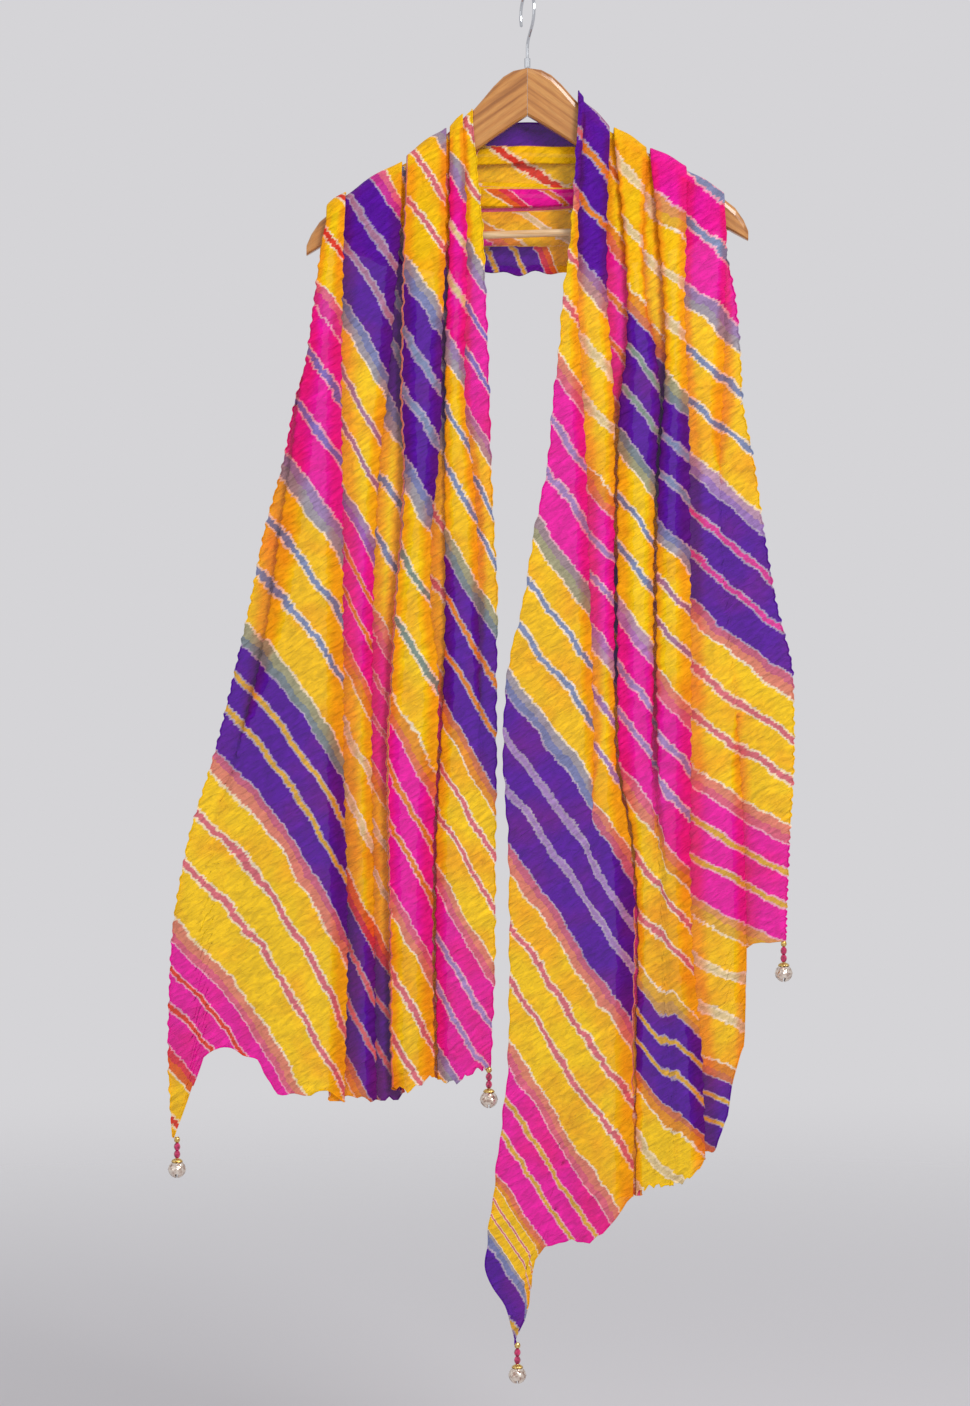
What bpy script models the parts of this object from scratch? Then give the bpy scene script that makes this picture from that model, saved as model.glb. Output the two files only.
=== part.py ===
# Dupatta stole hung on a wooden hanger.
# One long sheer cloth passes behind the hanger's neck and falls in lengthwise pleats over both arms.
# A drop of beads with a round bell is sewn to each of the cloth's four corners.
# All tables are in millimetres. "Across" is the distance from the hanger's centre line and "drop" the depth
# below the origin, which is the inside top of the hook. The front faces -Y.

import math

import bmesh
import bpy
import numpy as np

MM = 0.001
SEAM_GAP = 0.3

# The hanger hangs a little lower on its left: a rise in Z for each millimetre to the right.
HANGER_TILT = 0.034
ARM_HALF_THICKNESS = 6.0
ARM_LOWER_CORNER = 2.0
MITRE_GAP = 0.3
BAR_RADIUS = 3.75
BAR_DROP = 242.0
BAR_SIDES = 12

# The arm's outline, level: distance from the mitre, drop of its top edge, drop of its underside.
ARM_ROWS = (
    (0.0, 75.5, 123.7),
    (14.0, 78.0, 132.0),
    (24.0, 83.5, 138.5),
    (34.0, 93.0, 145.0),
    (46.0, 107.0, 153.0),
    (55.0, 117.0, 158.3),
    (81.5, 142.8, 174.0),
    (115.5, 165.0, 194.1),
    (159.5, 189.4, 220.1),
    (194.5, 211.6, 240.8),
    (208.5, 223.0, 249.1),
    (217.0, 235.5, 254.0),
    (221.5, 246.0, 256.5),
)

# The hook is wire bent to a round bow, turned most of a quarter turn out of the hanger's plane.
HOOK_WIRE_RADIUS = 1.6
HOOK_BOW_RADIUS = 22.0
HOOK_TURN = math.radians(73.0)
HOOK_SHANK_TOP = 56.0
HOOK_BOW_START = math.radians(-42.0)
HOOK_BOW_END = math.radians(205.0)
HOOK_SLEEVE_RADIUS = 3.2
HOOK_SLEEVE_HEIGHT = 9.0

# The cloth is one wall. It wraps the arms between the two falls and the back.
WALL = 1.0
WRAP_SPLIT = math.radians(125.0)
CREST_RADIUS = 10.9
SWELL_DEPTH = 3.0
SWELL_LENGTH = 88.0
FACE_CROWN = 0.05
FACE_CROWN_MOST = 2.4
FLAT_OVERLAP = -4.0
FULL_OVERLAP = 2.0

# Left fall. Each row is one fold line from the outer selvage to the inner one, with its distance across
# at each drop. The first place is on the arm's crest.
LEFT_DROPS = (0, 250, 310, 360, 410, 470, 540, 610, 690, 760, 860, 960, 1060, 1105, 1146)
LEFT_LINES = {
    "outer selvage": (198.5, 202.5, 211, 217.5, 232, 243.5, 262.5, 276.5, 294.5, 311.5, 340.5, 355.5, 358.5,
                      357, 354.5),
    "strip fold": (201.5, 205.5, 213.5, 220, 229, 236.5, 247.5, 256.5, 271.5, 289.5, 312.5, 322.5, 329,
                   336.5, 346.5),
    "broad pleat": (182, 183.5, 184.5, 185.5, 185.5, 185, 184, 184, 183.5, 183.5, 181, 179.5, 181.5, 182.5,
                    182.5),
    "second pleat": (125.5, 127.5, 132.5, 136, 140.5, 147.5, 151.5, 154, 155, 155.5, 154, 152.5, 151.5,
                     150.5, 150.5),
    "outer recess": (121.5, 124.5, 126, 127, 127.5, 125, 127.5, 133.5, 137.5, 141.5, 140.5, 138.5, 137.5,
                     136, 136),
    "middle pleat": (81, 81.5, 83.5, 85.5, 85.5, 88.5, 95.5, 96.5, 88.5, 89.5, 94, 94.5, 93, 92.5, 92.5),
    "inner recess": (78, 78.5, 80.5, 82.5, 82.5, 83, 83, 82.5, 84, 87, 91.5, 92, 90.5, 90, 90),
    "inner pleat": (64.5, 60.5, 61, 62.5, 62.5, 55.5, 50, 48.5, 48, 48, 48.5, 48.5, 49.5, 49.5, 49.5),
    "inner selvage": (55.5, 44.5, 42, 40, 38.5, 37, 34, 30.5, 31.5, 31.5, 32.5, 33, 36.5, 37.5, 37.5),
}

# Right fall, in the same order.
RIGHT_DROPS = (0, 250, 310, 360, 410, 470, 540, 610, 690, 760, 860, 950, 1060, 1160, 1250, 1275, 1315, 1351)
RIGHT_LINES = {
    "outer selvage": (194.5, 197, 208, 212.5, 215, 226, 236, 248, 265.5, 266.5, 261.5, 258.5, 258.5, 258.5,
                      258.5, 258.5, 258.5, 258.5),
    "strip fold": (197.5, 199.5, 197.5, 197, 195.5, 192.5, 193.5, 198.5, 205.5, 211.5, 216.5, 218.5, 217,
                   217, 217, 217, 217, 217),
    "broad pleat": (159.5, 158.5, 157, 158.5, 160.5, 162, 162.5, 163, 163.5, 163.5, 162.5, 164.5, 174,
                    177.5, 178, 178, 178, 178),
    "second pleat": (123, 131, 135.5, 137.5, 135.5, 131.5, 129, 128.5, 128.5, 129.5, 134.5, 138.5, 144.5,
                     148.5, 148.5, 148.5, 148.5, 148.5),
    "outer recess": (119.5, 115.5, 118.5, 128, 132.5, 129, 126.5, 126, 126, 124.5, 127.5, 130.5, 135.5,
                     138.5, 138.5, 138.5, 138.5, 138.5),
    "middle pleat": (86.5, 96.5, 99.5, 98.5, 92, 90, 89.5, 89.5, 89.5, 90.5, 106.5, 110.5, 108.5, 108.5,
                     108, 108, 108, 108),
    "inner recess": (82.5, 79.5, 80, 83.5, 86.5, 87.5, 87, 87, 87, 88, 104, 108, 106, 106, 105.5, 105.5,
                     105.5, 105.5),
    "inner pleat": (56.5, 50.5, 50.5, 52.5, 55.5, 58.5, 60.5, 62.5, 65, 66, 62.5, 56, 44.5, 30.5, 13.5,
                    1.5, 3.5, -7.5),
    "inner selvage": (51.5, 43, 35.5, 32, 26, 21, 7.5, -3.5, -20.5, -24, -18.5, -17.5, -18.5, -28.5,
                      -39.5, -42.5, -22, -11.5),
}

# How far each face of the cloth stands toward the front of the hanging plane, outer strip to inner strip.
# The first number of a row is its drop and the second how far the plane hangs in front of the hanger.
LEFT_LEVELS = (
    (0, 10.9, -1.8, 3.6, 0.0, -3.6, 3.0, -3.0, 0.6, -3.6),
    (360, 14, -3, 6, 0, -6, 5, -5, 1, -5),
    (690, 14, -3, 6, 0, -6, 5, -5, 1, -5),
    (800, 14, 2, 6, 0, -6, 5, -5, 1, -3),
    (900, 13, 5, 6, 0, -6, 5, -5, 1, 0),
    (1150, 12, 5.5, 6, 1, -5, 5, -4, 1, 0.5),
)
RIGHT_LEVELS = (
    (0, 10.9, -3.0, 0.0, 3.6, -2.4, 2.4, -3.6, 0.6, 3.6),
    (360, 14, -5, 0, 6, -4, 4, -6, 1, 6),
    (690, 14, -4, 0, 6, -4, 4, -6, 1, 6),
    (800, 14, -5, 0, 6, -4, 4, -6, 1, 6),
    (930, 13, -5, 0, 5, 2.5, 2, -6, 5, 5.5),
    (1350, 12, -5, 0, 5, 2.5, 2, -5, 5, 5.5),
)

# How much cloth is folded under at each fold line. Below nought the fold has opened to a slope.
LEFT_OVERLAPS = (
    (0, 5, 6, 8, 10, 6, 3.5, 3.5),
    (310, 6, 9, 9, 10, 6, 5, 5),
    (410, 14, 12, 9, 10, 8, 5, 5),
    (540, 16, 14, 8, 8, 8, 6, 7),
    (690, 8, 14, 8, 8, 10, 8, 2.5),
    (780, -6, 14, 8, 8, 12, 8, -6),
    (1150, -6, 14, 8, 8, 12, 8, -6),
)
RIGHT_OVERLAPS = (
    (0, 5, 8, 6, 5, 4, 5, 2),
    (310, 6, 6, 4, 2.5, 3, 6, 6),
    (410, 10, 8, 5, 5, 9, 6, 9),
    (540, -6, 12, 6, 6, 12, 6, 9),
    (690, -6, 12, 4, 4, 12, 6, 9),
    (760, 5, 12, 0.5, 0.5, 12, 6, 6),
    (850, 8, 12, -6, -6, 5, 16, -6),
    (1350, 8, 12, -6, -6, 5, 14, -6),
)

# The hem: a place along the cloth's width, counted in faces from the outer selvage, and its drop there.
LEFT_HEM = (
    (0.0, 1145.7), (0.9, 1145.7), (0.95, 1138), (1.0, 1092), (1.05, 1065), (1.16, 1057), (1.27, 1059),
    (1.41, 1070), (1.46, 1086), (1.54, 1102), (1.63, 1100), (1.75, 1106), (1.86, 1098), (1.95, 1110),
    (2.5, 1105), (3.0, 1110), (3.9, 1109), (4.05, 1095), (4.4, 1100), (4.7, 1092), (5.0, 1083),
    (6.0, 1090), (6.5, 1091), (6.95, 1080), (7.5, 1077), (8.0, 1076.7),
)
RIGHT_HEM = (
    (0.0, 950.7), (0.3, 951), (0.7, 953), (0.95, 975), (1.0, 1010), (1.05, 1055), (1.26, 1098),
    (1.33, 1125), (1.53, 1159), (1.75, 1161), (2.0, 1168), (2.4, 1182), (3.0, 1193), (4.5, 1195),
    (5.0, 1204), (6.05, 1207), (6.16, 1217), (6.27, 1229), (6.35, 1242), (6.5, 1249), (6.85, 1251),
    (6.95, 1257), (7.0, 1300), (7.05, 1344), (7.4, 1350.7), (8.0, 1350.7),
)

# Behind the neck the same fold lines run across, at these drops on the centre line.
BACK_CENTRE_DROPS = (279, 280, 250.5, 203.5, 199.5, 161.5, 158, 138, 128)
BACK_CENTRE_LEVELS = (-2.4, 1.8, 1.8, -3.0, 2.7, -3.3, 0.3, 0.3)
BACK_CENTRE_RADIUS = 16.0
BACK_TURNED_FOLDS = (1, 6)
BACK_TURN_PLACE = 0.5
BACK_TURN_OVERLAP = -6.0
BACK_FALL_PULL = 0.2
BACK_CENTRE_PULL = 0.45

FACES = 8
FOLDS = 7
FACE_STEPS = (2, 6, 2, 2, 2, 2, 3, 3)
FALL_PLACES = (0.0, 0.06, 0.13, 0.2, 0.28, 0.36, 0.45, 0.54, 0.63, 0.72, 0.81, 0.9, 1.0)
FALL_WRAP_TURNS = (1.0, 0.76, 0.52, 0.26)
BACK_PLACES = (1.0, 0.9, 0.72, 0.48, 0.22, 0.0)
BACK_WRAP_TURNS = (0.0, 0.5)

# A corner drop, measured from the middle of its top bead: names, sides, and places across.
DROP_SIDES = 12
GOLD_BEAD_RADIUS = 3.0
PINK_BEAD_RADIUS = 3.3
PINK_BEAD_HALF_HEIGHT = 3.75
PINK_BEAD_MIDDLES = (-7.0, -14.6)
THREAD_RADIUS = 0.8
CAP_PROFILE = ((1.5, -18.7), (3.0, -19.1), (4.4, -20.2), (5.0, -21.5), (5.0, -22.0), (4.4, -21.6), (3.0, -20.95))
CAP_INNER_TOP = -20.4
BELL_MIDDLE = -29.5
BELL_RADIUS = 8.7
BELL_WALL = 0.8
BELL_RIM = 0.45
BELL_MOUTH = math.radians(-66.0)
CORNERS = (
    ("left_outer", -1, 0.0, 350.0, 1145.7),
    ("left_inner", -1, 8.0, 38.6, 1076.7),
    ("right_outer", 1, 0.0, 256.5, 950.7),
    ("right_inner", 1, 8.0, -10.2, 1350.7),
)


def clear_scene():
    """Remove whatever the scene holds."""
    for thing in list(bpy.data.objects):
        bpy.data.objects.remove(thing, do_unlink=True)


def finish_material(name, colour, roughness, metallic=0.0):
    """A Principled material for one sub-part."""
    made = bpy.data.materials.new(name)
    made.use_nodes = True
    shader = made.node_tree.nodes["Principled BSDF"]
    shader.inputs["Base Color"].default_value = (*colour, 1.0)
    shader.inputs["Roughness"].default_value = roughness
    shader.inputs["Metallic"].default_value = metallic
    return made


def add_object(name, points, faces, finish):
    """An object from points in millimetres and faces, turned outward and shaded smooth."""
    mesh = bpy.data.meshes.new(name)
    mesh.from_pydata([tuple(c * MM for c in point) for point in points], [], faces)
    shell = bmesh.new()
    shell.from_mesh(mesh)
    bmesh.ops.recalc_face_normals(shell, faces=shell.faces)
    shell.to_mesh(mesh)
    shell.free()
    mesh.materials.append(finish)
    made = bpy.data.objects.new(name, mesh)
    bpy.context.scene.collection.objects.link(made)
    mesh.shade_smooth()
    mesh.set_sharp_from_angle(angle=math.radians(40.0))
    return made


def skin_rings(name, rings, finish):
    """A closed body through rings of equal length, with flat ends."""
    count = len(rings[0])
    points = [point for ring in rings for point in ring]
    faces = [tuple(range(count)), tuple(range(len(points) - count, len(points)))]
    for row in range(len(rings) - 1):
        for side in range(count):
            a = row * count + side
            b = row * count + (side + 1) % count
            faces.append((a, b, b + count, a + count))
    return add_object(name, points, faces, finish)


def turn_profile(name, profile, centre, finish):
    """A body turned about the vertical through a centre. The profile starts and ends on the axis."""
    points = [(centre[0], centre[1], centre[2] + profile[0][1])]
    for radius, height in profile[1:-1]:
        for side in range(DROP_SIDES):
            angle = 2.0 * math.pi * side / DROP_SIDES
            points.append((centre[0] + radius * math.cos(angle), centre[1] + radius * math.sin(angle),
                           centre[2] + height))
    points.append((centre[0], centre[1], centre[2] + profile[-1][1]))
    last = len(points) - 1
    faces = []
    for side in range(DROP_SIDES):
        following = (side + 1) % DROP_SIDES
        faces.append((0, 1 + side, 1 + following))
        faces.append((last, last - DROP_SIDES + following, last - DROP_SIDES + side))
        for row in range(len(profile) - 3):
            a = 1 + row * DROP_SIDES
            faces.append((a + side, a + following, a + DROP_SIDES + following, a + DROP_SIDES + side))
    return add_object(name, points, faces, finish)


def smooth_read(stations, values, places):
    """Read a table at any place on a curve that never overshoots its rows."""
    stations = np.asarray(stations, float)
    values = np.asarray(values, float)
    widths = np.diff(stations)
    rises = np.diff(values) / widths
    slopes = np.zeros(len(values))
    slopes[0] = rises[0]
    slopes[-1] = rises[-1]
    for row in range(1, len(values) - 1):
        if rises[row - 1] * rises[row] > 0.0:
            slopes[row] = 2.0 * rises[row - 1] * rises[row] / (rises[row - 1] + rises[row])
    index = np.clip(np.searchsorted(stations, places, side="right") - 1, 0, len(values) - 2)
    t = np.clip((places - stations[index]) / widths[index], 0.0, 1.0)
    rest = 1.0 - t
    return (values[index] * (1.0 + 2.0 * t) * rest ** 2 + values[index + 1] * (1.0 + 2.0 * rest) * t ** 2
            + widths[index] * t * rest * (slopes[index] * rest - slopes[index + 1] * t))


def ease(value):
    """A smooth step from nought to one."""
    t = np.clip(value, 0.0, 1.0)
    return t * t * (3.0 - 2.0 * t)


def arm_crest(x):
    """The height of the arm's top edge at x, and the length of its slope for each millimetre across."""
    distances = [row[0] for row in ARM_ROWS]
    tops = [row[1] for row in ARM_ROWS]
    height = -float(np.interp(abs(x), distances, tops)) + HANGER_TILT * x
    step = 4.0
    ahead = -float(np.interp(abs(x) + step, distances, tops))
    behind = -float(np.interp(abs(x) - step, distances, tops))
    slope = (ahead - behind) / (2.0 * step) + math.copysign(HANGER_TILT, x)
    return height, math.hypot(1.0, slope)


def crest_axis(x):
    """The height of the round edge's own axis on the arm, and the stretch of its section."""
    height, stretch = arm_crest(x)
    return height - ARM_HALF_THICKNESS * stretch, stretch


def cloth_roles():
    """Every column of the cloth: which face or fold it belongs to, and where in it."""
    roles = []
    for face in range(FACES):
        steps = FACE_STEPS[face]
        roles += [("face", face, step / steps) for step in range(steps + 1)]
        if face < FOLDS:
            roles += [("turn down", face, 0.5), ("turn down", face, 1.0)]
            roles += [("turn back", face, 0.0), ("turn back", face, 0.5)]
    return roles


def role_number(role):
    """The place of a column along the cloth's width, counted in faces."""
    kind, index, part = role
    if kind == "face":
        first = 0.0 if index == 0 else 0.05
        last = 1.0 if index == FACES - 1 else 0.95
        return index + first + part * (last - first)
    share = part if kind == "turn down" else 1.0 + part
    return index + 0.95 + 0.05 * share


def cross_section(role, lines, levels, overlaps):
    """One column's place along the width and its level, for each row of the tables read at its drops.

    The cloth runs to a fold line, turns under itself in a round bend to half the difference in level,
    goes back by the overlap, and turns again onto the next face. The higher face lies on top.
    """
    def fold(index):
        place = -lines[index + 1]
        rise = levels[index + 1] - levels[index]
        overlap = np.where(np.abs(overlaps[index]) < 0.4, 0.4, overlaps[index])
        closed = ease((overlap - FLAT_OVERLAP) / (FULL_OVERLAP - FLAT_OVERLAP))
        bend = np.abs(rise) / 4.0
        slack = (1.0 - closed) * overlap / 2.0
        outer_on_top = place - closed * bend + slack
        inner_on_top = place + closed * bend - slack + overlap
        first = np.where(rise <= 0.0, outer_on_top, inner_on_top)
        return first, first - overlap, rise, bend * closed, closed, 0.45 * np.maximum(-overlap, 0.0)

    kind, index, part = role
    if kind == "face":
        start = -lines[0] if index == 0 else fold(index - 1)[1]
        end = -lines[FACES] if index == FACES - 1 else fold(index)[0]
        place = start + part * (end - start)
        seen_start = -lines[index] if index else start
        seen_width = -lines[index + 1] - seen_start
        seen = np.clip((place - seen_start) / np.maximum(seen_width, 1.0), 0.0, 1.0)
        crown = np.clip(seen_width * FACE_CROWN, 0.0, FACE_CROWN_MOST)
        return place, levels[index] + crown * np.sin(math.pi * seen) ** 2
    first, second, rise, bend, closed, drift = fold(index)
    turn = math.pi * part
    if kind == "turn down":
        place = first + bend * math.sin(turn) + drift * part
        depth = closed * (1.0 - math.cos(turn)) / 4.0 + (1.0 - closed) * (1.0 - math.cos(turn / 2.0)) / 2.0
    else:
        place = second - drift - bend * math.sin(turn) + drift * part
        depth = 0.5 + closed * (1.0 - math.cos(turn)) / 4.0 + (1.0 - closed) * math.sin(turn / 2.0) / 2.0
    return place, levels[index] + rise * depth


def swell(place, fraction):
    """The broad waves that deepen toward the hem."""
    return SWELL_DEPTH * fraction ** 2 * np.sin(2.0 * math.pi * place / SWELL_LENGTH)


class Fall:
    """One hanging end of the cloth, with its tables."""

    def __init__(self, side, drops, lines, levels, overlaps, hem):
        self.side = side
        self.drops = drops
        self.lines = list(lines.values())
        self.levels = levels
        self.overlaps = overlaps
        self.hem = hem

    def at_crest(self, role):
        """A column's place and level on the arm."""
        lines = [np.array([line[0]]) for line in self.lines]
        levels = [np.array([value]) for value in self.levels[0][2:]]
        overlaps = [np.array([float(value)]) for value in self.overlaps[0][1:]]
        place, level = cross_section(role, lines, levels, overlaps)
        return float(place[0]), float(level[0])

    def x_of(self, place):
        """World x of a place along the width, which is counted inward and is negative."""
        return -self.side * place

    def hem_drop(self, role):
        """The drop at which a column ends."""
        return float(np.interp(role_number(role), [row[0] for row in self.hem], [row[1] for row in self.hem]))

    def column(self, role, fractions):
        """A column's points from the arm's axis to the hem, at fractions of its length."""
        crest_place, _ = self.at_crest(role)
        axis, _ = crest_axis(self.x_of(crest_place))
        drops = -axis + np.asarray(fractions) * (self.hem_drop(role) + axis)

        def read(stations, values):
            return smooth_read([-axis, *stations[1:]], values, drops)

        level_drops = [row[0] for row in self.levels]
        overlap_drops = [row[0] for row in self.overlaps]
        lines = [read(self.drops, line) for line in self.lines]
        levels = [read(level_drops, [row[2 + face] for row in self.levels]) for face in range(FACES)]
        overlaps = [read(overlap_drops, [row[1 + fold] for row in self.overlaps]) for fold in range(FOLDS)]
        plane = read(level_drops, [row[1] for row in self.levels])
        place, level = cross_section(role, lines, levels, overlaps)
        forward = plane + level + swell(place, np.asarray(fractions))
        return [(self.x_of(a), -b, -c) for a, b, c in zip(place, forward, drops)]

    def wrap(self, role, turns):
        """A column's points round the arm, at turns from the front."""
        place, level = self.at_crest(role)
        x = self.x_of(place)
        axis, stretch = crest_axis(x)
        radius = CREST_RADIUS + level
        return [(x, -radius * math.cos(turn), axis + radius * math.sin(turn) * stretch) for turn in turns]

    def split_turn(self, role, towards_back):
        """The turn at which a piece ends at the seam behind the arm."""
        radius = CREST_RADIUS + self.at_crest(role)[1]
        return WRAP_SPLIT + towards_back * SEAM_GAP / 2.0 / radius


LEFT = Fall(-1, LEFT_DROPS, LEFT_LINES, LEFT_LEVELS, LEFT_OVERLAPS, LEFT_HEM)
RIGHT = Fall(1, RIGHT_DROPS, RIGHT_LINES, RIGHT_LEVELS, RIGHT_OVERLAPS, RIGHT_HEM)


def back_column(role, places):
    """A column's points behind the neck, at places from -1 on the left arm to 1 on the right one."""
    places = np.asarray(places, float)

    def shares(lines):
        return [(lines[1] - line) / (lines[1] - lines[FACES]) for line in lines]

    left_shares = shares([line[0] for line in LEFT.lines])
    right_shares = shares([line[0] for line in RIGHT.lines])
    centre_shares = shares(BACK_CENTRE_DROPS)
    widths = [fall.lines[1][0] - fall.lines[FACES][0] for fall in (LEFT, RIGHT)]
    centre_width = BACK_CENTRE_DROPS[1] - BACK_CENTRE_DROPS[FACES]
    width = smooth_read((-1, 0, 1), (widths[0], centre_width, widths[1]), places)
    lines = []
    for row in zip(left_shares, centre_shares, right_shares):
        lines.append(-smooth_read((-1, 0, 1), row, places) * width)
    stations = (-1, -BACK_TURN_PLACE, 0, BACK_TURN_PLACE, 1)
    levels = []
    for face in range(FACES):
        left = LEFT.levels[0][2 + face]
        right = RIGHT.levels[0][2 + face]
        levels.append(smooth_read(stations, (left, left, BACK_CENTRE_LEVELS[face], right, right), places))
    overlaps = []
    for index in range(FOLDS):
        left = LEFT.overlaps[0][1 + index]
        right = RIGHT.overlaps[0][1 + index]
        middle = (left, (left + right) / 2.0, right)
        if index in BACK_TURNED_FOLDS:
            middle = (BACK_TURN_OVERLAP,) * 3
        overlaps.append(smooth_read(stations, (left, *middle, right), places))
    place, level = cross_section(role, lines, levels, overlaps)
    share = place / width
    points = []
    for where, part, depth in zip(places, share, level):
        fall = LEFT if where <= 0.0 else RIGHT
        outer = fall.lines[1][0]
        across = outer - part * (outer - fall.lines[FACES][0])
        start_x = fall.side * across
        start_z = crest_axis(start_x)[0]
        end_z = -(BACK_CENTRE_DROPS[1] - part * centre_width)
        reach = math.hypot(start_x, end_z - start_z)
        t = 1.0 - abs(where)
        weights = ((1 - t) ** 3, 3 * t * (1 - t) ** 2, 3 * t * t * (1 - t), t ** 3)
        xs = (start_x, start_x, fall.side * BACK_CENTRE_PULL * reach, 0.0)
        zs = (start_z, start_z - BACK_FALL_PULL * reach, end_z, end_z)
        x = sum(w * a for w, a in zip(weights, xs))
        z = sum(w * a for w, a in zip(weights, zs))
        radius = CREST_RADIUS + (BACK_CENTRE_RADIUS - CREST_RADIUS) * float(ease(t))
        points.append((x, radius + depth, z))
    return points


def cloth_wall(name, columns, finish):
    """A wall of cloth on columns of points, given its thickness by a Solidify modifier."""
    rows = len(columns[0])
    points = [point for column in columns for point in column]
    faces = []
    for column in range(len(columns) - 1):
        for row in range(rows - 1):
            a = column * rows + row
            faces.append((a, a + 1, a + rows + 1, a + rows))
    made = add_object(name, points, faces, finish)
    wall = made.modifiers.new("Wall", "SOLIDIFY")
    wall.thickness = WALL * MM
    wall.offset = 0.0
    wall.use_rim = True
    wall.use_even_offset = False
    return made


def build_fall(name, fall, finish):
    """One fall: round the arm from the seam behind it, and down to the hem."""
    columns = []
    for role in cloth_roles():
        start = fall.split_turn(role, -1)
        turns = [start * share for share in FALL_WRAP_TURNS]
        columns.append(fall.wrap(role, turns) + fall.column(role, FALL_PLACES))
    return cloth_wall(name, columns, finish)


def build_back(name, finish):
    """The stretch behind the neck, from seam to seam."""
    columns = []
    left_places = [-place for place in BACK_PLACES]
    right_places = list(reversed(BACK_PLACES[:-1]))
    for role in cloth_roles():
        left_start = LEFT.split_turn(role, 1)
        right_start = RIGHT.split_turn(role, 1)
        left_turns = [left_start + (math.pi - left_start) * share for share in BACK_WRAP_TURNS]
        right_turns = [right_start + (math.pi - right_start) * share for share in reversed(BACK_WRAP_TURNS)]
        columns.append(LEFT.wrap(role, left_turns) + back_column(role, left_places + right_places)
                       + RIGHT.wrap(role, right_turns))
    return cloth_wall(name, columns, finish)


def arm_ring(distance, top, bottom, side, thickness):
    """A section of the arm: a round top edge and an underside with small rounded corners."""
    half = ARM_HALF_THICKNESS * thickness
    x = side * distance
    rise = HANGER_TILT * x
    stretch = arm_crest(side * max(distance, 8.0))[1]
    cap = min(half * stretch, (top - bottom) / -2.0)
    ring = []
    for step in range(7):
        turn = math.pi * step / 6.0
        ring.append((x, -half * math.cos(turn), -top - cap + cap * math.sin(turn) + rise))
    corner = ARM_LOWER_CORNER * thickness
    for y, lift in ((half, corner), (half - corner, 0.0), (corner - half, 0.0), (-half, corner)):
        ring.append((x, y, -bottom + lift + rise))
    return ring


def build_arm(name, side, finish):
    """One half of the hanger's body, from the mitre to its rounded tip."""
    rings = []
    for distance, top, bottom in ARM_ROWS:
        thickness = 0.72 if distance > 221.0 else 0.93 if distance > 216.0 else 1.0
        rings.append(arm_ring(max(distance, MITRE_GAP / 2.0), top, bottom, side, thickness))
    return skin_rings(name, rings, finish)


def build_bar(name, finish):
    """The trouser bar: a dowel whose ends seat on the undersides of the arms."""
    distances = [row[0] for row in ARM_ROWS]
    undersides = [row[2] for row in ARM_ROWS]
    rings = []
    for side in (-1, 1):
        ring = []
        for step in range(BAR_SIDES):
            turn = 2.0 * math.pi * step / BAR_SIDES
            drop = BAR_DROP - BAR_RADIUS * math.sin(turn)
            x = side * float(np.interp(drop - 1.25 * SEAM_GAP, undersides, distances))
            ring.append((x, BAR_RADIUS * math.cos(turn), -drop + HANGER_TILT * x))
        rings.append(ring)
    return skin_rings(name, rings, finish)


def build_hook(name, finish):
    """The hook: a sleeve on the wood, a straight shank and a round bow, as one bent wire."""
    foot = 75.5 - SEAM_GAP
    middle = HOOK_BOW_RADIUS - HOOK_WIRE_RADIUS
    route = [(0.0, -foot, HOOK_SLEEVE_RADIUS), (0.0, -foot + HOOK_SLEEVE_HEIGHT, HOOK_SLEEVE_RADIUS),
             (0.0, -foot + HOOK_SLEEVE_HEIGHT + 0.8, HOOK_WIRE_RADIUS)]
    join = (HOOK_BOW_RADIUS * math.cos(HOOK_BOW_START), -middle + HOOK_BOW_RADIUS * math.sin(HOOK_BOW_START))
    pull = 9.0
    lead = (join[0] + pull * math.sin(HOOK_BOW_START), join[1] - pull * math.cos(HOOK_BOW_START))
    rise = (0.0, -HOOK_SHANK_TOP + pull)
    bend_start = (0.0, -HOOK_SHANK_TOP)
    for step in range(7):
        t = step / 6.0
        weights = ((1 - t) ** 3, 3 * t * (1 - t) ** 2, 3 * t * t * (1 - t), t ** 3)
        corners = (bend_start, rise, lead, join)
        route.append((sum(w * c[0] for w, c in zip(weights, corners)),
                      sum(w * c[1] for w, c in zip(weights, corners)), HOOK_WIRE_RADIUS))
    for step in range(1, 19):
        turn = HOOK_BOW_START + (HOOK_BOW_END - HOOK_BOW_START) * step / 18.0
        route.append((HOOK_BOW_RADIUS * math.cos(turn), -middle + HOOK_BOW_RADIUS * math.sin(turn),
                      HOOK_WIRE_RADIUS))
    route.append((route[-1][0] + 0.9 * math.cos(HOOK_BOW_END + math.pi / 2.0),
                  route[-1][1] + 0.9 * math.sin(HOOK_BOW_END + math.pi / 2.0), 0.5 * HOOK_WIRE_RADIUS))
    rings = []
    for step, (out, height, radius) in enumerate(route):
        before = route[max(step - 1, 0)]
        after = route[min(step + 1, len(route) - 1)]
        heading = math.atan2(after[1] - before[1], after[0] - before[0])
        ring = []
        for part in range(10):
            turn = 2.0 * math.pi * part / 10.0
            aside = radius * math.cos(turn)
            lift = radius * math.sin(turn)
            along = out - lift * math.sin(heading)
            ring.append((along * math.cos(HOOK_TURN) + aside * math.sin(HOOK_TURN),
                         -along * math.sin(HOOK_TURN) + aside * math.cos(HOOK_TURN),
                         height + lift * math.cos(heading)))
        rings.append(ring)
    return skin_rings(name, rings, finish)


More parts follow.
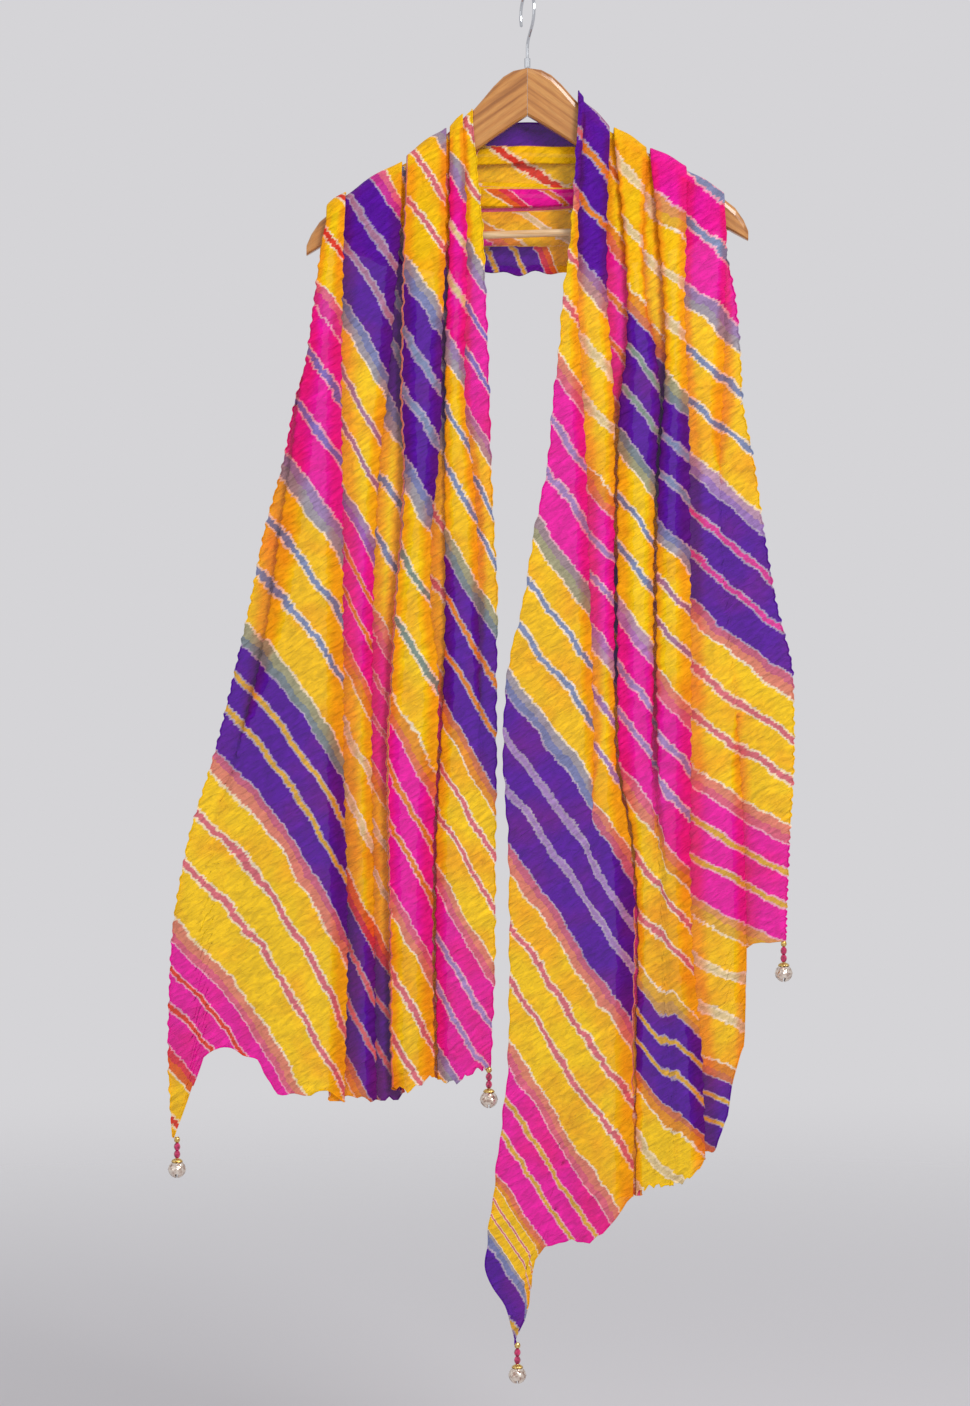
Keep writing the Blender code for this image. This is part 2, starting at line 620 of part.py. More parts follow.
def bead_profile():
    """The strung beads and their cap, turned, from the top of the gold bead to inside the cap."""
    profile = [(0.0, GOLD_BEAD_RADIUS)]
    for turn in (50.0, 0.0, -50.0):
        angle = math.radians(turn)
        profile.append((GOLD_BEAD_RADIUS * math.cos(angle), GOLD_BEAD_RADIUS * math.sin(angle)))
    for middle in PINK_BEAD_MIDDLES:
        profile.append((THREAD_RADIUS, middle + PINK_BEAD_HALF_HEIGHT - 0.1))
        for turn in (50.0, 0.0, -50.0):
            angle = math.radians(turn)
            profile.append((PINK_BEAD_RADIUS * math.cos(angle),
                            middle + PINK_BEAD_HALF_HEIGHT * math.sin(angle)))
    profile.append((THREAD_RADIUS, PINK_BEAD_MIDDLES[-1] - PINK_BEAD_HALF_HEIGHT + 0.1))
    profile += list(CAP_PROFILE)
    profile.append((0.0, CAP_INNER_TOP))
    return profile


def bell_profile():
    """The bell: a hollow ball with a seam round its middle and a round mouth below."""
    outside = [(0.0, BELL_MIDDLE + BELL_RADIUS)]
    for turn in (62.0, 34.0, 8.0):
        angle = math.radians(turn)
        outside.append((BELL_RADIUS * math.cos(angle), BELL_MIDDLE + BELL_RADIUS * math.sin(angle)))
    outside.append((BELL_RADIUS + BELL_RIM, BELL_MIDDLE))
    for turn in (-8.0, -28.0, -48.0, math.degrees(BELL_MOUTH)):
        angle = math.radians(turn)
        outside.append((BELL_RADIUS * math.cos(angle), BELL_MIDDLE + BELL_RADIUS * math.sin(angle)))
    inside = []
    radius = BELL_RADIUS - BELL_WALL
    for turn in (math.degrees(BELL_MOUTH), -45.0, 0.0, 45.0):
        angle = math.radians(turn)
        inside.append((radius * math.cos(angle), BELL_MIDDLE + radius * math.sin(angle)))
    return outside + inside + [(0.0, BELL_MIDDLE + radius)]


def build_corner_drop(name, side, role_place, across, drop, bead_finish, bell_finish):
    """One drop under its corner: the beads just touch the hem, and the bell hangs from the cap."""
    fall = LEFT if side < 0 else RIGHT
    role = ("face", 0, 0.0) if role_place == 0.0 else ("face", FACES - 1, 1.0)
    corner_y = fall.column(role, (0.5, 1.0))[-1][1]
    centre = (side * across, corner_y, -drop - SEAM_GAP - GOLD_BEAD_RADIUS)
    turn_profile("latkan_beads_" + name, bead_profile(), centre, bead_finish)
    turn_profile("latkan_bell_" + name, bell_profile(), centre, bell_finish)


def build():
    """The whole part."""
    clear_scene()
    chiffon = finish_material("Dyed chiffon", (0.85, 0.35, 0.03), 0.6)
    beech = finish_material("Lacquered beech", (0.62, 0.38, 0.18), 0.35)
    chrome = finish_material("Chromed wire", (0.75, 0.76, 0.78), 0.15, 1.0)
    bead = finish_material("Gilt and pink beads", (0.65, 0.08, 0.25), 0.25)
    brass = finish_material("Plated bell brass", (0.72, 0.62, 0.42), 0.3, 1.0)
    build_fall("stole_left_fall", LEFT, chiffon)
    build_back("stole_back", chiffon)
    build_fall("stole_right_fall", RIGHT, chiffon)
    build_arm("hanger_arm_left", -1, beech)
    build_arm("hanger_arm_right", 1, beech)
    build_bar("hanger_bar", beech)
    build_hook("hanger_hook", chrome)
    for corner in CORNERS:
        build_corner_drop(*corner, bead, brass)


build()
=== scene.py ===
import math

import bpy
import numpy as np
from mathutils import Matrix, Vector


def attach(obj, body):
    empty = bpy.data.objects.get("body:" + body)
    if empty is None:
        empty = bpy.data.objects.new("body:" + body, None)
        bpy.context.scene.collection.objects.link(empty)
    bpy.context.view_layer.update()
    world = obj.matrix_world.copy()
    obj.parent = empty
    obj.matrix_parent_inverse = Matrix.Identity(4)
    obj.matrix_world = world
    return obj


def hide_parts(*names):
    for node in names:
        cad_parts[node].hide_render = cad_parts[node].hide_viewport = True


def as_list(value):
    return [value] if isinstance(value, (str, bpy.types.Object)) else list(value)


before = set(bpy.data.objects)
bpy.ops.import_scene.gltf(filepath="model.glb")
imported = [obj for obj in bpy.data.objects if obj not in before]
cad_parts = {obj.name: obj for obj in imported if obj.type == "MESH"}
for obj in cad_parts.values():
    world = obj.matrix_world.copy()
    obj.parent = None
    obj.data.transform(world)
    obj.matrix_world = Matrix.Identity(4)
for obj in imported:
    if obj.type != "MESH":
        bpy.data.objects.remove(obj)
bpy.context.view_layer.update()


# The stole is one long cloth of crinkled chiffon, folded lengthwise and hung over the hanger's arms so
# that its ends fall at different heights. It is woven of fine crepe yarn, tied and dyed by hand in slanting
# bands, and cut to about 0.6 by 2.4 metres. Below, it is laid in the eight faces between its seven folds.
MM = 0.001
FACES, FOLDS = 8, 7

# The hanger's slope, half its arms' thickness, the radius at which the cloth turns over them, and where round
# that turn, counted from the front, its three stretches meet at a narrow seam. Lengths are in millimetres.
TILT = 0.034
ARM_HALF = 6.0
CREST = 10.9
SPLIT = math.radians(125.0)
SEAM = 0.3

# The arm's top edge: distance from the middle and drop below the hook, in millimetres.
ARM_TOP = ((0, 75.5), (14, 78), (24, 83.5), (34, 93), (46, 107), (55, 117), (81.5, 142.8), (115.5, 165),
           (159.5, 189.4), (194.5, 211.6), (208.5, 223), (217, 235.5), (221.5, 246))

# The left end. Lines: how far across each fold lies at each drop, selvage to selvage. Levels: a drop, how far
# forward the cloth lies there, and each face's own level. Overlaps: a drop, and how far each fold doubles
# back, below 0 where it is open. Hem: a place across, counted in faces, and the drop where the cloth ends.
LEFT_DROPS = (0, 250, 310, 360, 410, 470, 540, 610, 690, 760, 860, 960, 1060, 1105, 1146)
LEFT_LINES = (
    (198.5, 202.5, 211, 217.5, 232, 243.5, 262.5, 276.5, 294.5, 311.5, 340.5, 355.5, 358.5, 357, 354.5),
    (201.5, 205.5, 213.5, 220, 229, 236.5, 247.5, 256.5, 271.5, 289.5, 312.5, 322.5, 329, 336.5, 346.5),
    (182, 183.5, 184.5, 185.5, 185.5, 185, 184, 184, 183.5, 183.5, 181, 179.5, 181.5, 182.5, 182.5),
    (125.5, 127.5, 132.5, 136, 140.5, 147.5, 151.5, 154, 155, 155.5, 154, 152.5, 151.5, 150.5, 150.5),
    (121.5, 124.5, 126, 127, 127.5, 125, 127.5, 133.5, 137.5, 141.5, 140.5, 138.5, 137.5, 136, 136),
    (81, 81.5, 83.5, 85.5, 85.5, 88.5, 95.5, 96.5, 88.5, 89.5, 94, 94.5, 93, 92.5, 92.5),
    (78, 78.5, 80.5, 82.5, 82.5, 83, 83, 82.5, 84, 87, 91.5, 92, 90.5, 90, 90),
    (64.5, 60.5, 61, 62.5, 62.5, 55.5, 50, 48.5, 48, 48, 48.5, 48.5, 49.5, 49.5, 49.5),
    (55.5, 44.5, 42, 40, 38.5, 37, 34, 30.5, 31.5, 31.5, 32.5, 33, 36.5, 37.5, 37.5),
)
LEFT_LEVELS = (
    (0, 10.9, -1.8, 3.6, 0.0, -3.6, 3.0, -3.0, 0.6, -3.6),
    (360, 14, -3, 6, 0, -6, 5, -5, 1, -5),
    (690, 14, -3, 6, 0, -6, 5, -5, 1, -5),
    (800, 14, 2, 6, 0, -6, 5, -5, 1, -3),
    (900, 13, 5, 6, 0, -6, 5, -5, 1, 0),
    (1150, 12, 5.5, 6, 1, -5, 5, -4, 1, 0.5),
)
LEFT_OVERLAPS = (
    (0, 5, 6, 8, 10, 6, 3.5, 3.5),
    (310, 6, 9, 9, 10, 6, 5, 5),
    (410, 14, 12, 9, 10, 8, 5, 5),
    (540, 16, 14, 8, 8, 8, 6, 7),
    (690, 8, 14, 8, 8, 10, 8, 2.5),
    (780, -6, 14, 8, 8, 12, 8, -6),
    (900, -12, 14, 8, 8, 12, 8, -6),
    (1150, -12, 14, 8, 8, 12, 8, -6),
)
LEFT_HEM = (
    (0.0, 1145.7), (0.9, 1145.7), (0.95, 1138), (1.0, 1092), (1.05, 1065), (1.16, 1057), (1.27, 1059),
    (1.41, 1070), (1.46, 1086), (1.54, 1102), (1.63, 1100), (1.75, 1106), (1.86, 1098), (1.95, 1110),
    (2.5, 1105), (3.0, 1110), (3.9, 1109), (4.05, 1095), (4.4, 1100), (4.7, 1092), (5.0, 1083),
    (6.0, 1090), (6.5, 1091), (6.95, 1080), (7.5, 1077), (8.0, 1076.7),
)

# The right end, in the same order.
RIGHT_DROPS = (0, 250, 310, 360, 410, 470, 540, 610, 690, 760, 860, 950, 1060, 1160, 1250, 1275, 1315, 1351)
RIGHT_LINES = (
    (194.5, 197, 208, 212.5, 215, 226, 236, 248, 265.5, 266.5, 261.5, 258.5, 258.5, 258.5, 258.5, 258.5,
     258.5, 258.5),
    (197.5, 199.5, 197.5, 197, 195.5, 192.5, 193.5, 198.5, 205.5, 211.5, 216.5, 218.5, 217, 217, 217, 217,
     217, 217),
    (159.5, 158.5, 157, 158.5, 160.5, 162, 162.5, 163, 163.5, 163.5, 162.5, 164.5, 174, 177.5, 178, 178,
     178, 178),
    (123, 131, 135.5, 137.5, 135.5, 131.5, 129, 128.5, 128.5, 129.5, 134.5, 138.5, 144.5, 148.5, 148.5,
     148.5, 148.5, 148.5),
    (119.5, 115.5, 118.5, 128, 132.5, 129, 126.5, 126, 126, 124.5, 127.5, 130.5, 135.5, 138.5, 138.5,
     138.5, 138.5, 138.5),
    (86.5, 96.5, 99.5, 98.5, 92, 90, 89.5, 89.5, 89.5, 90.5, 106.5, 110.5, 108.5, 108.5, 108, 108, 108,
     108),
    (82.5, 79.5, 80, 83.5, 86.5, 87.5, 87, 87, 87, 88, 104, 108, 106, 106, 105.5, 105.5, 105.5, 105.5),
    (56.5, 50.5, 50.5, 52.5, 55.5, 58.5, 60.5, 62.5, 65, 66, 62.5, 56, 44.5, 30.5, 13.5, 1.5, 3.5, -7.5),
    (51.5, 43, 35.5, 32, 26, 21, 7.5, -3.5, -20.5, -24, -18.5, -17.5, -18.5, -28.5, -39.5, -42.5, -22,
     -11.5),
)
RIGHT_LEVELS = (
    (0, 10.9, -3.0, 0.0, 3.6, -2.4, 2.4, -3.6, 0.6, 3.6),
    (360, 14, -5, 0, 6, -4, 4, -6, 1, 6),
    (690, 14, -4, 0, 6, -4, 4, -6, 1, 6),
    (800, 14, -5, 0, 6, -4, 4, -6, 1, 6),
    (930, 13, -5, 0, 5, 2.5, 2, -1, 5, 5.5),
    (1350, 12, -5, 0, 5, 2.5, 2, -1, 5, 5.5),
)
RIGHT_OVERLAPS = (
    (0, 5, 8, 6, 5, 4, 5, 2),
    (310, 6, 6, 4, 2.5, 3, 6, 6),
    (410, 10, 8, 5, 5, 9, 6, 9),
    (540, -6, 12, 6, 6, 12, 6, 9),
    (690, -6, 12, 4, 4, 12, 6, 9),
    (760, 5, 12, 0.5, 0.5, 12, 6, 6),
    (850, 8, 12, -6, -6, 5, 16, -6),
    (950, 8, 12, -6, -6, 5, 16, -12),
    (1350, 8, 12, -6, -6, 5, 14, -12),
)
RIGHT_HEM = (
    (0.0, 950.7), (0.3, 951), (0.7, 953), (0.95, 975), (1.0, 1010), (1.05, 1055), (1.26, 1098),
    (1.33, 1125), (1.53, 1159), (1.75, 1161), (2.0, 1168), (2.4, 1182), (3.0, 1193), (4.5, 1195),
    (5.0, 1204), (6.05, 1207), (6.16, 1217), (6.27, 1229), (6.35, 1242), (6.5, 1249), (6.85, 1251),
    (6.95, 1257), (7.0, 1300), (7.05, 1344), (7.4, 1350.7), (8.0, 1350.7),
)
BACK_DROPS = (279, 280, 250.5, 203.5, 199.5, 161.5, 158, 138, 128)
BACK_LEVELS = (-2.4, 1.8, 1.8, -3.0, 2.7, -3.3, 0.3, 0.3)

# The dye, face by face, one row for the outer two. Four bands make a repeat: yellow (0), pink (1), yellow (2)
# and purple (3). A row gives the slant of its bands at three drops, how far they bow, the place across where
# they are read, the number of the first change, the drops at which the bands change, and the letters of the
# tints of the two tied lines in each band and of the wash over each change.
LEFT_DYE = 2 * (
    ((1.2, 1.5, 1.95), 0.003, 197.5, 1, (319, 537, 753, 924, 1165, 1300), "rvbysrr", "pbgssr"),
) + (
    ((1.45, 2.0, 1.9), 0.0, 157.5, 3, (172, 366, 555, 710, 940, 1120), "smmowss", "pbvoro"),
    ((1.7, 1.7, 1.7), 0.0, 144.5, 0, (410, 650, 800, 960, 1130), "bbswss", "bsoro"),
    ((1.4, 1.7, 1.9), 0.0, 102.5, 3, (305, 515, 780, 970, 1190), "sbgoss", "bboso"),
    ((1.6, 1.6, 1.6), 0.0, 88.0, 3, (250, 440, 700, 900, 1100), "sbsoss", "sboso"),
    ((1.6, 1.8, 1.7), 0.0, 70.5, 2, (371, 570, 747, 922, 1100), "wbosll", "bgosb"),
    ((1.7, 1.7, 1.7), 0.0, 51.5, 1, (276, 440, 602, 779, 954, 1122), "svbosll", "bmgosb"),
)
RIGHT_DYE = 2 * (
    ((-0.78, -0.85, -0.45), 0.0, 177.5, 2, (320, 485, 632, 796, 921, 1077, 1158), "bbpsywyw", "blssyoo"),
) + (
    ((-0.7, -1.1, -1.0), 0.0, 142.5, 2, (227, 399, 552, 705, 870, 1008, 1120), "ywbmlsyw", "ygbsoyo"),
    ((-1.0, -1.0, -1.0), 0.0, 124.5, 2, (150, 350, 500, 680, 830, 1000, 1105), "ywbmlsyw", "oobsoyo"),
    ((-1.2, -1.25, -1.25), 0.0, 107.5, 3, (316, 472, 642, 805, 985, 1085), "wgblsyw", "oglsyo"),
    ((-1.2, -1.2, -1.2), 0.0, 86.0, 1, (250, 420, 560, 700, 860, 1000, 1290), "oooooooo", "ooosoos"),
    ((-1.1, -1.15, -1.45), 0.0, 67.5, 0, (296, 497, 650, 825, 990, 1198, 1335), "owlllsyo", "molssso"),
    ((-1.3, -1.3, -1.5), 0.0, 37.5, 1, (385, 579, 768, 946, 1150, 1295, 1358), "slblsysy", "sgbssob"),
)
SLANT_DROPS = (200, 600, 1000)
FIRST_BAND, LAST_BAND = 190.0, 180.0
TINTS = {
    "s": "#E0707A", "r": "#E8402A", "b": "#8590B6", "l": "#AC86C2", "v": "#8A6FC0", "w": "#E6CB94",
    "o": "#E8862A", "y": "#E3AC3A", "g": "#87988C", "m": "#B07A9A", "p": "#E23A9A",
}

# Steps across each face. The rows of all columns are spaced as if they ended at one common drop, and part for
# their own ends only low down, so that neighbours stay in step where the hem climbs steeply.
FACE_STEPS = (6, 36, 10, 8, 14, 5, 14, 18)
COMMON_DROP = 1100.0


# Colours are written as sRGB hex and turned to linear here, for every material below.
def colour(code):
    parts = [int(code[i:i + 2], 16) / 255.0 for i in (1, 3, 5)]
    return tuple(c / 12.92 if c <= 0.04045 else ((c + 0.055) / 1.055) ** 2.4 for c in parts) + (1.0,)


TINT_COLOURS = {letter: colour(code) for letter, code in TINTS.items()}


def read(stations, values, places):
    stations = np.asarray(stations, float)
    values = np.asarray(values, float)
    widths = np.diff(stations)
    rises = np.diff(values) / widths
    slopes = np.zeros(len(values))
    slopes[0], slopes[-1] = rises[0], rises[-1]
    for row in range(1, len(values) - 1):
        if rises[row - 1] * rises[row] > 0.0:
            slopes[row] = 2.0 * rises[row - 1] * rises[row] / (rises[row - 1] + rises[row])
    index = np.clip(np.searchsorted(stations, places, side="right") - 1, 0, len(values) - 2)
    t = np.clip((places - stations[index]) / widths[index], 0.0, 1.0)
    rest = 1.0 - t
    return (values[index] * (1.0 + 2.0 * t) * rest ** 2 + values[index + 1] * (1.0 + 2.0 * rest) * t ** 2
            + widths[index] * t * rest * (slopes[index] * rest - slopes[index + 1] * t))


def ease(value):
    t = np.clip(value, 0.0, 1.0)
    return t * t * (3.0 - 2.0 * t)


def arm_crest(x):
    distances, tops = zip(*ARM_TOP)
    height = -float(np.interp(abs(x), distances, tops)) + TILT * x
    ahead = -float(np.interp(abs(x) + 4.0, distances, tops))
    behind = -float(np.interp(abs(x) - 4.0, distances, tops))
    stretch = math.hypot(1.0, (ahead - behind) / 8.0 + math.copysign(TILT, x))
    return height - ARM_HALF * stretch, stretch


def cloth_roles():
    roles = []
    for face, steps in enumerate(FACE_STEPS):
        roles += [("face", face, step / steps) for step in range(steps + 1)]
        if face < FOLDS:
            roles += [("turn down", face, part) for part in (0.33, 0.67, 1.0)]
            roles += [("turn back", face, part) for part in (0.0, 0.33, 0.67)]
    return roles


def role_number(role):
    kind, index, part = role
    if kind == "face":
        first = 0.0 if index == 0 else 0.05
        last = 1.0 if index == FOLDS else 0.95
        return index + first + part * (last - first)
    return index + 0.95 + 0.05 * (part if kind == "turn down" else 1.0 + part)


def cross_section(role, lines, levels, overlaps):
    def fold(index):
        place = -lines[index + 1]
        rise = levels[index + 1] - levels[index]
        overlap = np.where(np.abs(overlaps[index]) < 0.4, 0.4, overlaps[index])
        closed = ease((overlap + 4.0) / 6.0)
        bend = np.abs(rise) / 4.0
        slack = (1.0 - closed) * overlap / 2.0
        first = np.where(rise <= 0.0, place - closed * bend + slack, place + closed * bend - slack + overlap)
        return first, first - overlap, rise, bend * closed, closed, 0.45 * np.maximum(-overlap, 0.0)

    kind, index, part = role
    if kind == "face":
        start = -lines[0] if index == 0 else fold(index - 1)[1]
        end = -lines[FACES] if index == FOLDS else fold(index)[0]
        place = start + part * (end - start)
        seen_start = -lines[index] if index else start
        seen_width = -lines[index + 1] - seen_start
        seen = np.clip((place - seen_start) / np.maximum(seen_width, 1.0), 0.0, 1.0)
        crown = np.clip(seen_width * 0.05, 0.0, 2.4)
        return place, levels[index] + crown * np.sin(math.pi * seen) ** 2
    first, second, rise, bend, closed, drift = fold(index)
    turn = math.pi * part
    if kind == "turn down":
        place = first + bend * math.sin(turn) + drift * part
        depth = closed * (1.0 - math.cos(turn)) / 4.0 + (1.0 - closed) * (1.0 - math.cos(turn / 2.0)) / 2.0
    else:
        place = second - drift - bend * math.sin(turn) + drift * part
        depth = 0.5 + closed * (1.0 - math.cos(turn)) / 4.0 + (1.0 - closed) * math.sin(turn / 2.0) / 2.0
    return place, levels[index] + rise * depth


def face_dye(table, across, drops):
    """How far the dye's repeat has got down one column, and the tints of its lines and washes."""
    slants, bow, place, first, changes, lines, washes = table
    aside = across - place
    level = drops + np.interp(drops, SLANT_DROPS, slants) * aside - bow * aside ** 2
    stations = np.asarray(changes, float)
    phase = np.interp(level, stations, first + np.arange(len(stations)))
    above, below = np.minimum(level - stations[0], 0.0), np.maximum(level - stations[-1], 0.0)
    phase = phase + above / FIRST_BAND + below / LAST_BAND
    band = np.clip(np.floor(phase) - first + 1, 0, len(lines) - 1).astype(int)
    change = np.clip(np.round(phase) - first, 0, len(washes) - 1).astype(int)
    return phase, [TINT_COLOURS[lines[i]] for i in band], [TINT_COLOURS[washes[i]] for i in change]


def crinkle(x, z):
    """Short creases left by the twisted yarn, about 7 mm apart, which rise towards the right."""
    along = x * 0.82 + z * 0.57
    across = z * 0.82 - x * 0.57
    wander = 0.9 * np.sin(along / 19.0 + across / 47.0) + 0.7 * np.sin(along / 8.3 - across / 29.0)
    ridge = np.sin(across * 2.0 * math.pi / 7.0 + 1.7 * wander)
    bunch = np.sin(along / 10.0 + 2.2 * np.sin(across / 14.0))
    patch = 0.55 + 0.45 * bunch * np.sin(along / 37.0 + across / 23.0)
    swell = np.sin(along / 27.0 + 1.4 * np.sin(across / 21.0))
    return 0.8 * ridge * patch + 0.6 * swell * np.sin(across / 16.0)


# How far painted shade deepens the colour on top of the arms and behind the neck, where the folds lie
# stacked, standing in for light filtered through them.
CREST_DOUBLED_SHADE = 0.3


class Fall:
    """One hanging end of the stole, laid column by column from the crest down to the hem."""

    def __init__(self, side, drops, lines, levels, overlaps, hem, dye):
        self.side, self.drops, self.lines = side, drops, lines
        self.levels, self.overlaps, self.hem, self.dye = levels, overlaps, hem, dye

    def at_crest(self, role):
        lines = [np.array([line[0]]) for line in self.lines]
        levels = [np.array([value]) for value in self.levels[0][2:]]
        overlaps = [np.array([float(value)]) for value in self.overlaps[0][1:]]
        place, level = cross_section(role, lines, levels, overlaps)
        return float(place[0]), float(level[0])

    def dye_at(self, role, across, drops, closed=1.0):
        """The dye of a face or a turn. A closed fold changes in its hidden middle, an open one gradually."""
        kind, index, part = role
        if kind == "face":
            return face_dye(self.dye[index], across, drops)
        low, *low_tints = face_dye(self.dye[index], across, drops)
        high, *high_tints = face_dye(self.dye[index + 1], across, drops)
        high = high - 4.0 * np.round((high - low) / 4.0)
        if kind == "turn down":
            return low + (1.0 - closed) * 0.5 * part * (high - low), *low_tints
        return high - (1.0 - closed) * 0.5 * (1.0 - part) * (high - low), *high_tints

    def column(self, role, fractions):
        fractions = np.asarray(fractions, float)
        crest_place, _ = self.at_crest(role)
        axis = arm_crest(-self.side * crest_place)[0]
        number = role_number(role)
        end = float(np.interp(number, [row[0] for row in self.hem], [row[1] for row in self.hem]))
        end += 2.0 * math.sin(2.0 * math.pi * 3.25 * number) + 0.9 * math.sin(2.0 * math.pi * 7.125 * number)
        late = fractions ** 4
        drops = -axis + fractions * (COMMON_DROP + axis) + late * (end - COMMON_DROP)
        fade = ease(fractions / 0.06) * ease((1.0 - fractions) / 0.03)

        def at(stations, values):
            return read([-axis, *stations[1:]], values, drops)

        level_drops = [row[0] for row in self.levels]
        overlap_drops = [row[0] for row in self.overlaps]
        lines = []
        for index, line in enumerate(self.lines):
            wave = 0.7 * np.sin(fractions * 2.0 * math.pi * (61.0 - 4.0 * index) + 2.0 * index)
            wave = wave + 0.5 * np.sin(fractions * 2.0 * math.pi * (107.0 - 6.0 * index) + index)
            lines.append(at(self.drops, line) + fade * wave)
        levels = [at(level_drops, [row[2 + face] for row in self.levels]) for face in range(FACES)]
        overlaps = [at(overlap_drops, [row[1 + fold] for row in self.overlaps]) for fold in range(FOLDS)]
        plane = at(level_drops, [row[1] for row in self.levels])
        place, level = cross_section(role, lines, levels, overlaps)
        forward = plane + level + 3.0 * fractions ** 2 * np.sin(2.0 * math.pi * place / 88.0)
        rumpled = self.relief(number, late) * crinkle(-self.side * place, -drops) + self.creases(place, drops)
        forward = forward + ease(fractions / 0.06) * rumpled
        points = [(-self.side * a, -b, -c) for a, b, c in zip(place, forward, drops)]
        # Painted shade: how far the colour is deepened where a hidden fold lies behind.
        doubled_shade = self.doubled_shade(role, place, lines, overlaps)
        phase, tints, washes = self.dye_at(role, -place, drops, doubled_shade)
        return points, list(phase), tints, washes, list(drops), list(doubled_shade)

    def relief(self, number, late):
        """How much of the crinkle a column takes: little where it runs out of step with its neighbours."""
        steps, ends = [row[0] for row in self.hem], [row[1] for row in self.hem]
        climb = float(np.interp(number + 0.05, steps, ends) - np.interp(number - 0.05, steps, ends))
        return 1.0 / (1.0 + (late * climb / 8.0) ** 2)

    def doubled_shade(self, role, place, lines, overlaps):
        """How far a hidden fold lies against a point, 0 to 1: painted shade deepens its colour there,
        standing in for light filtered through the doubled cloth.
        """
        kind, index, _ = role
        if kind != "face":
            return ease((overlaps[index] + 2.0) / 4.0)
        share = np.zeros(len(place))
        if index > 0:
            reach = (place + lines[index]) / np.maximum(overlaps[index - 1], 0.5)
            share = np.maximum(share, ease(1.5 - reach))
        if index < FOLDS:
            reach = (lines[index + 1] + place) / np.maximum(overlaps[index], 0.5)
            share = np.maximum(share, ease(1.5 + reach))
        return share

    def creases(self, place, drops):
        """The soft lengthwise creases of cloth that was gathered and twisted."""
        lean = 7.0 * np.sin(drops / 140.0 + self.side)
        fine = 0.30 * np.sin(2.0 * math.pi * (place + lean) / 14.0 + 1.7 * np.sin(drops / 210.0))
        return fine * (0.6 + 0.4 * np.sin(drops / 57.0 + place / 23.0))

    def wrap(self, role, turns):
        place, level = self.at_crest(role)
        x = -self.side * place
        axis, stretch = arm_crest(x)
        radius = CREST + level
        points = [(x, -radius * math.cos(turn), axis + radius * math.sin(turn) * stretch) for turn in turns]
        over = [-axis - radius * turn for turn in turns]
        phase, tints, washes = self.dye_at(role, -place, np.array(over))
        return points, list(phase), tints, washes, over, [CREST_DOUBLED_SHADE] * len(over)

    def split(self, role, towards_back):
        return SPLIT + towards_back * SEAM / 2.0 / (CREST + self.at_crest(role)[1])


LEFT = Fall(-1, LEFT_DROPS, LEFT_LINES, LEFT_LEVELS, LEFT_OVERLAPS, LEFT_HEM, LEFT_DYE)
RIGHT = Fall(1, RIGHT_DROPS, RIGHT_LINES, RIGHT_LEVELS, RIGHT_OVERLAPS, RIGHT_HEM, RIGHT_DYE)


# Behind the neck: how far back the cloth lies at the middle, the drop at which the crest's dye is read, and
# how far the weave's coordinate runs to each side.
BACK_MIDDLE = 16.0
BACK_DYE_DROP = 100.0
BACK_WEAVE = 500.0


def back_dye(x, drop):
    """The dye of the stretch behind the neck, one level fold at a time from the top."""
    if drop < 151.0:
        return 3.48, "p", "p"
    if drop < 194.0:
        return 4.333 + (drop - 172.5 - 0.64 * x) / 200.0, "r", "r"
    if drop < 214.0:
        return 5.0 + (x + 24.5 - 1.4 * (drop - 200.0)) / 144.0, "o", "r"
    if drop < 252.0:
        return 6.333 - (drop - 229.5 - 0.58 * (x - 13.5)) / 120.0, "w", "o"
    return 7.0 + (22.0 - x) / 90.0 + (drop - 270.0) * 0.005, "y", "r"


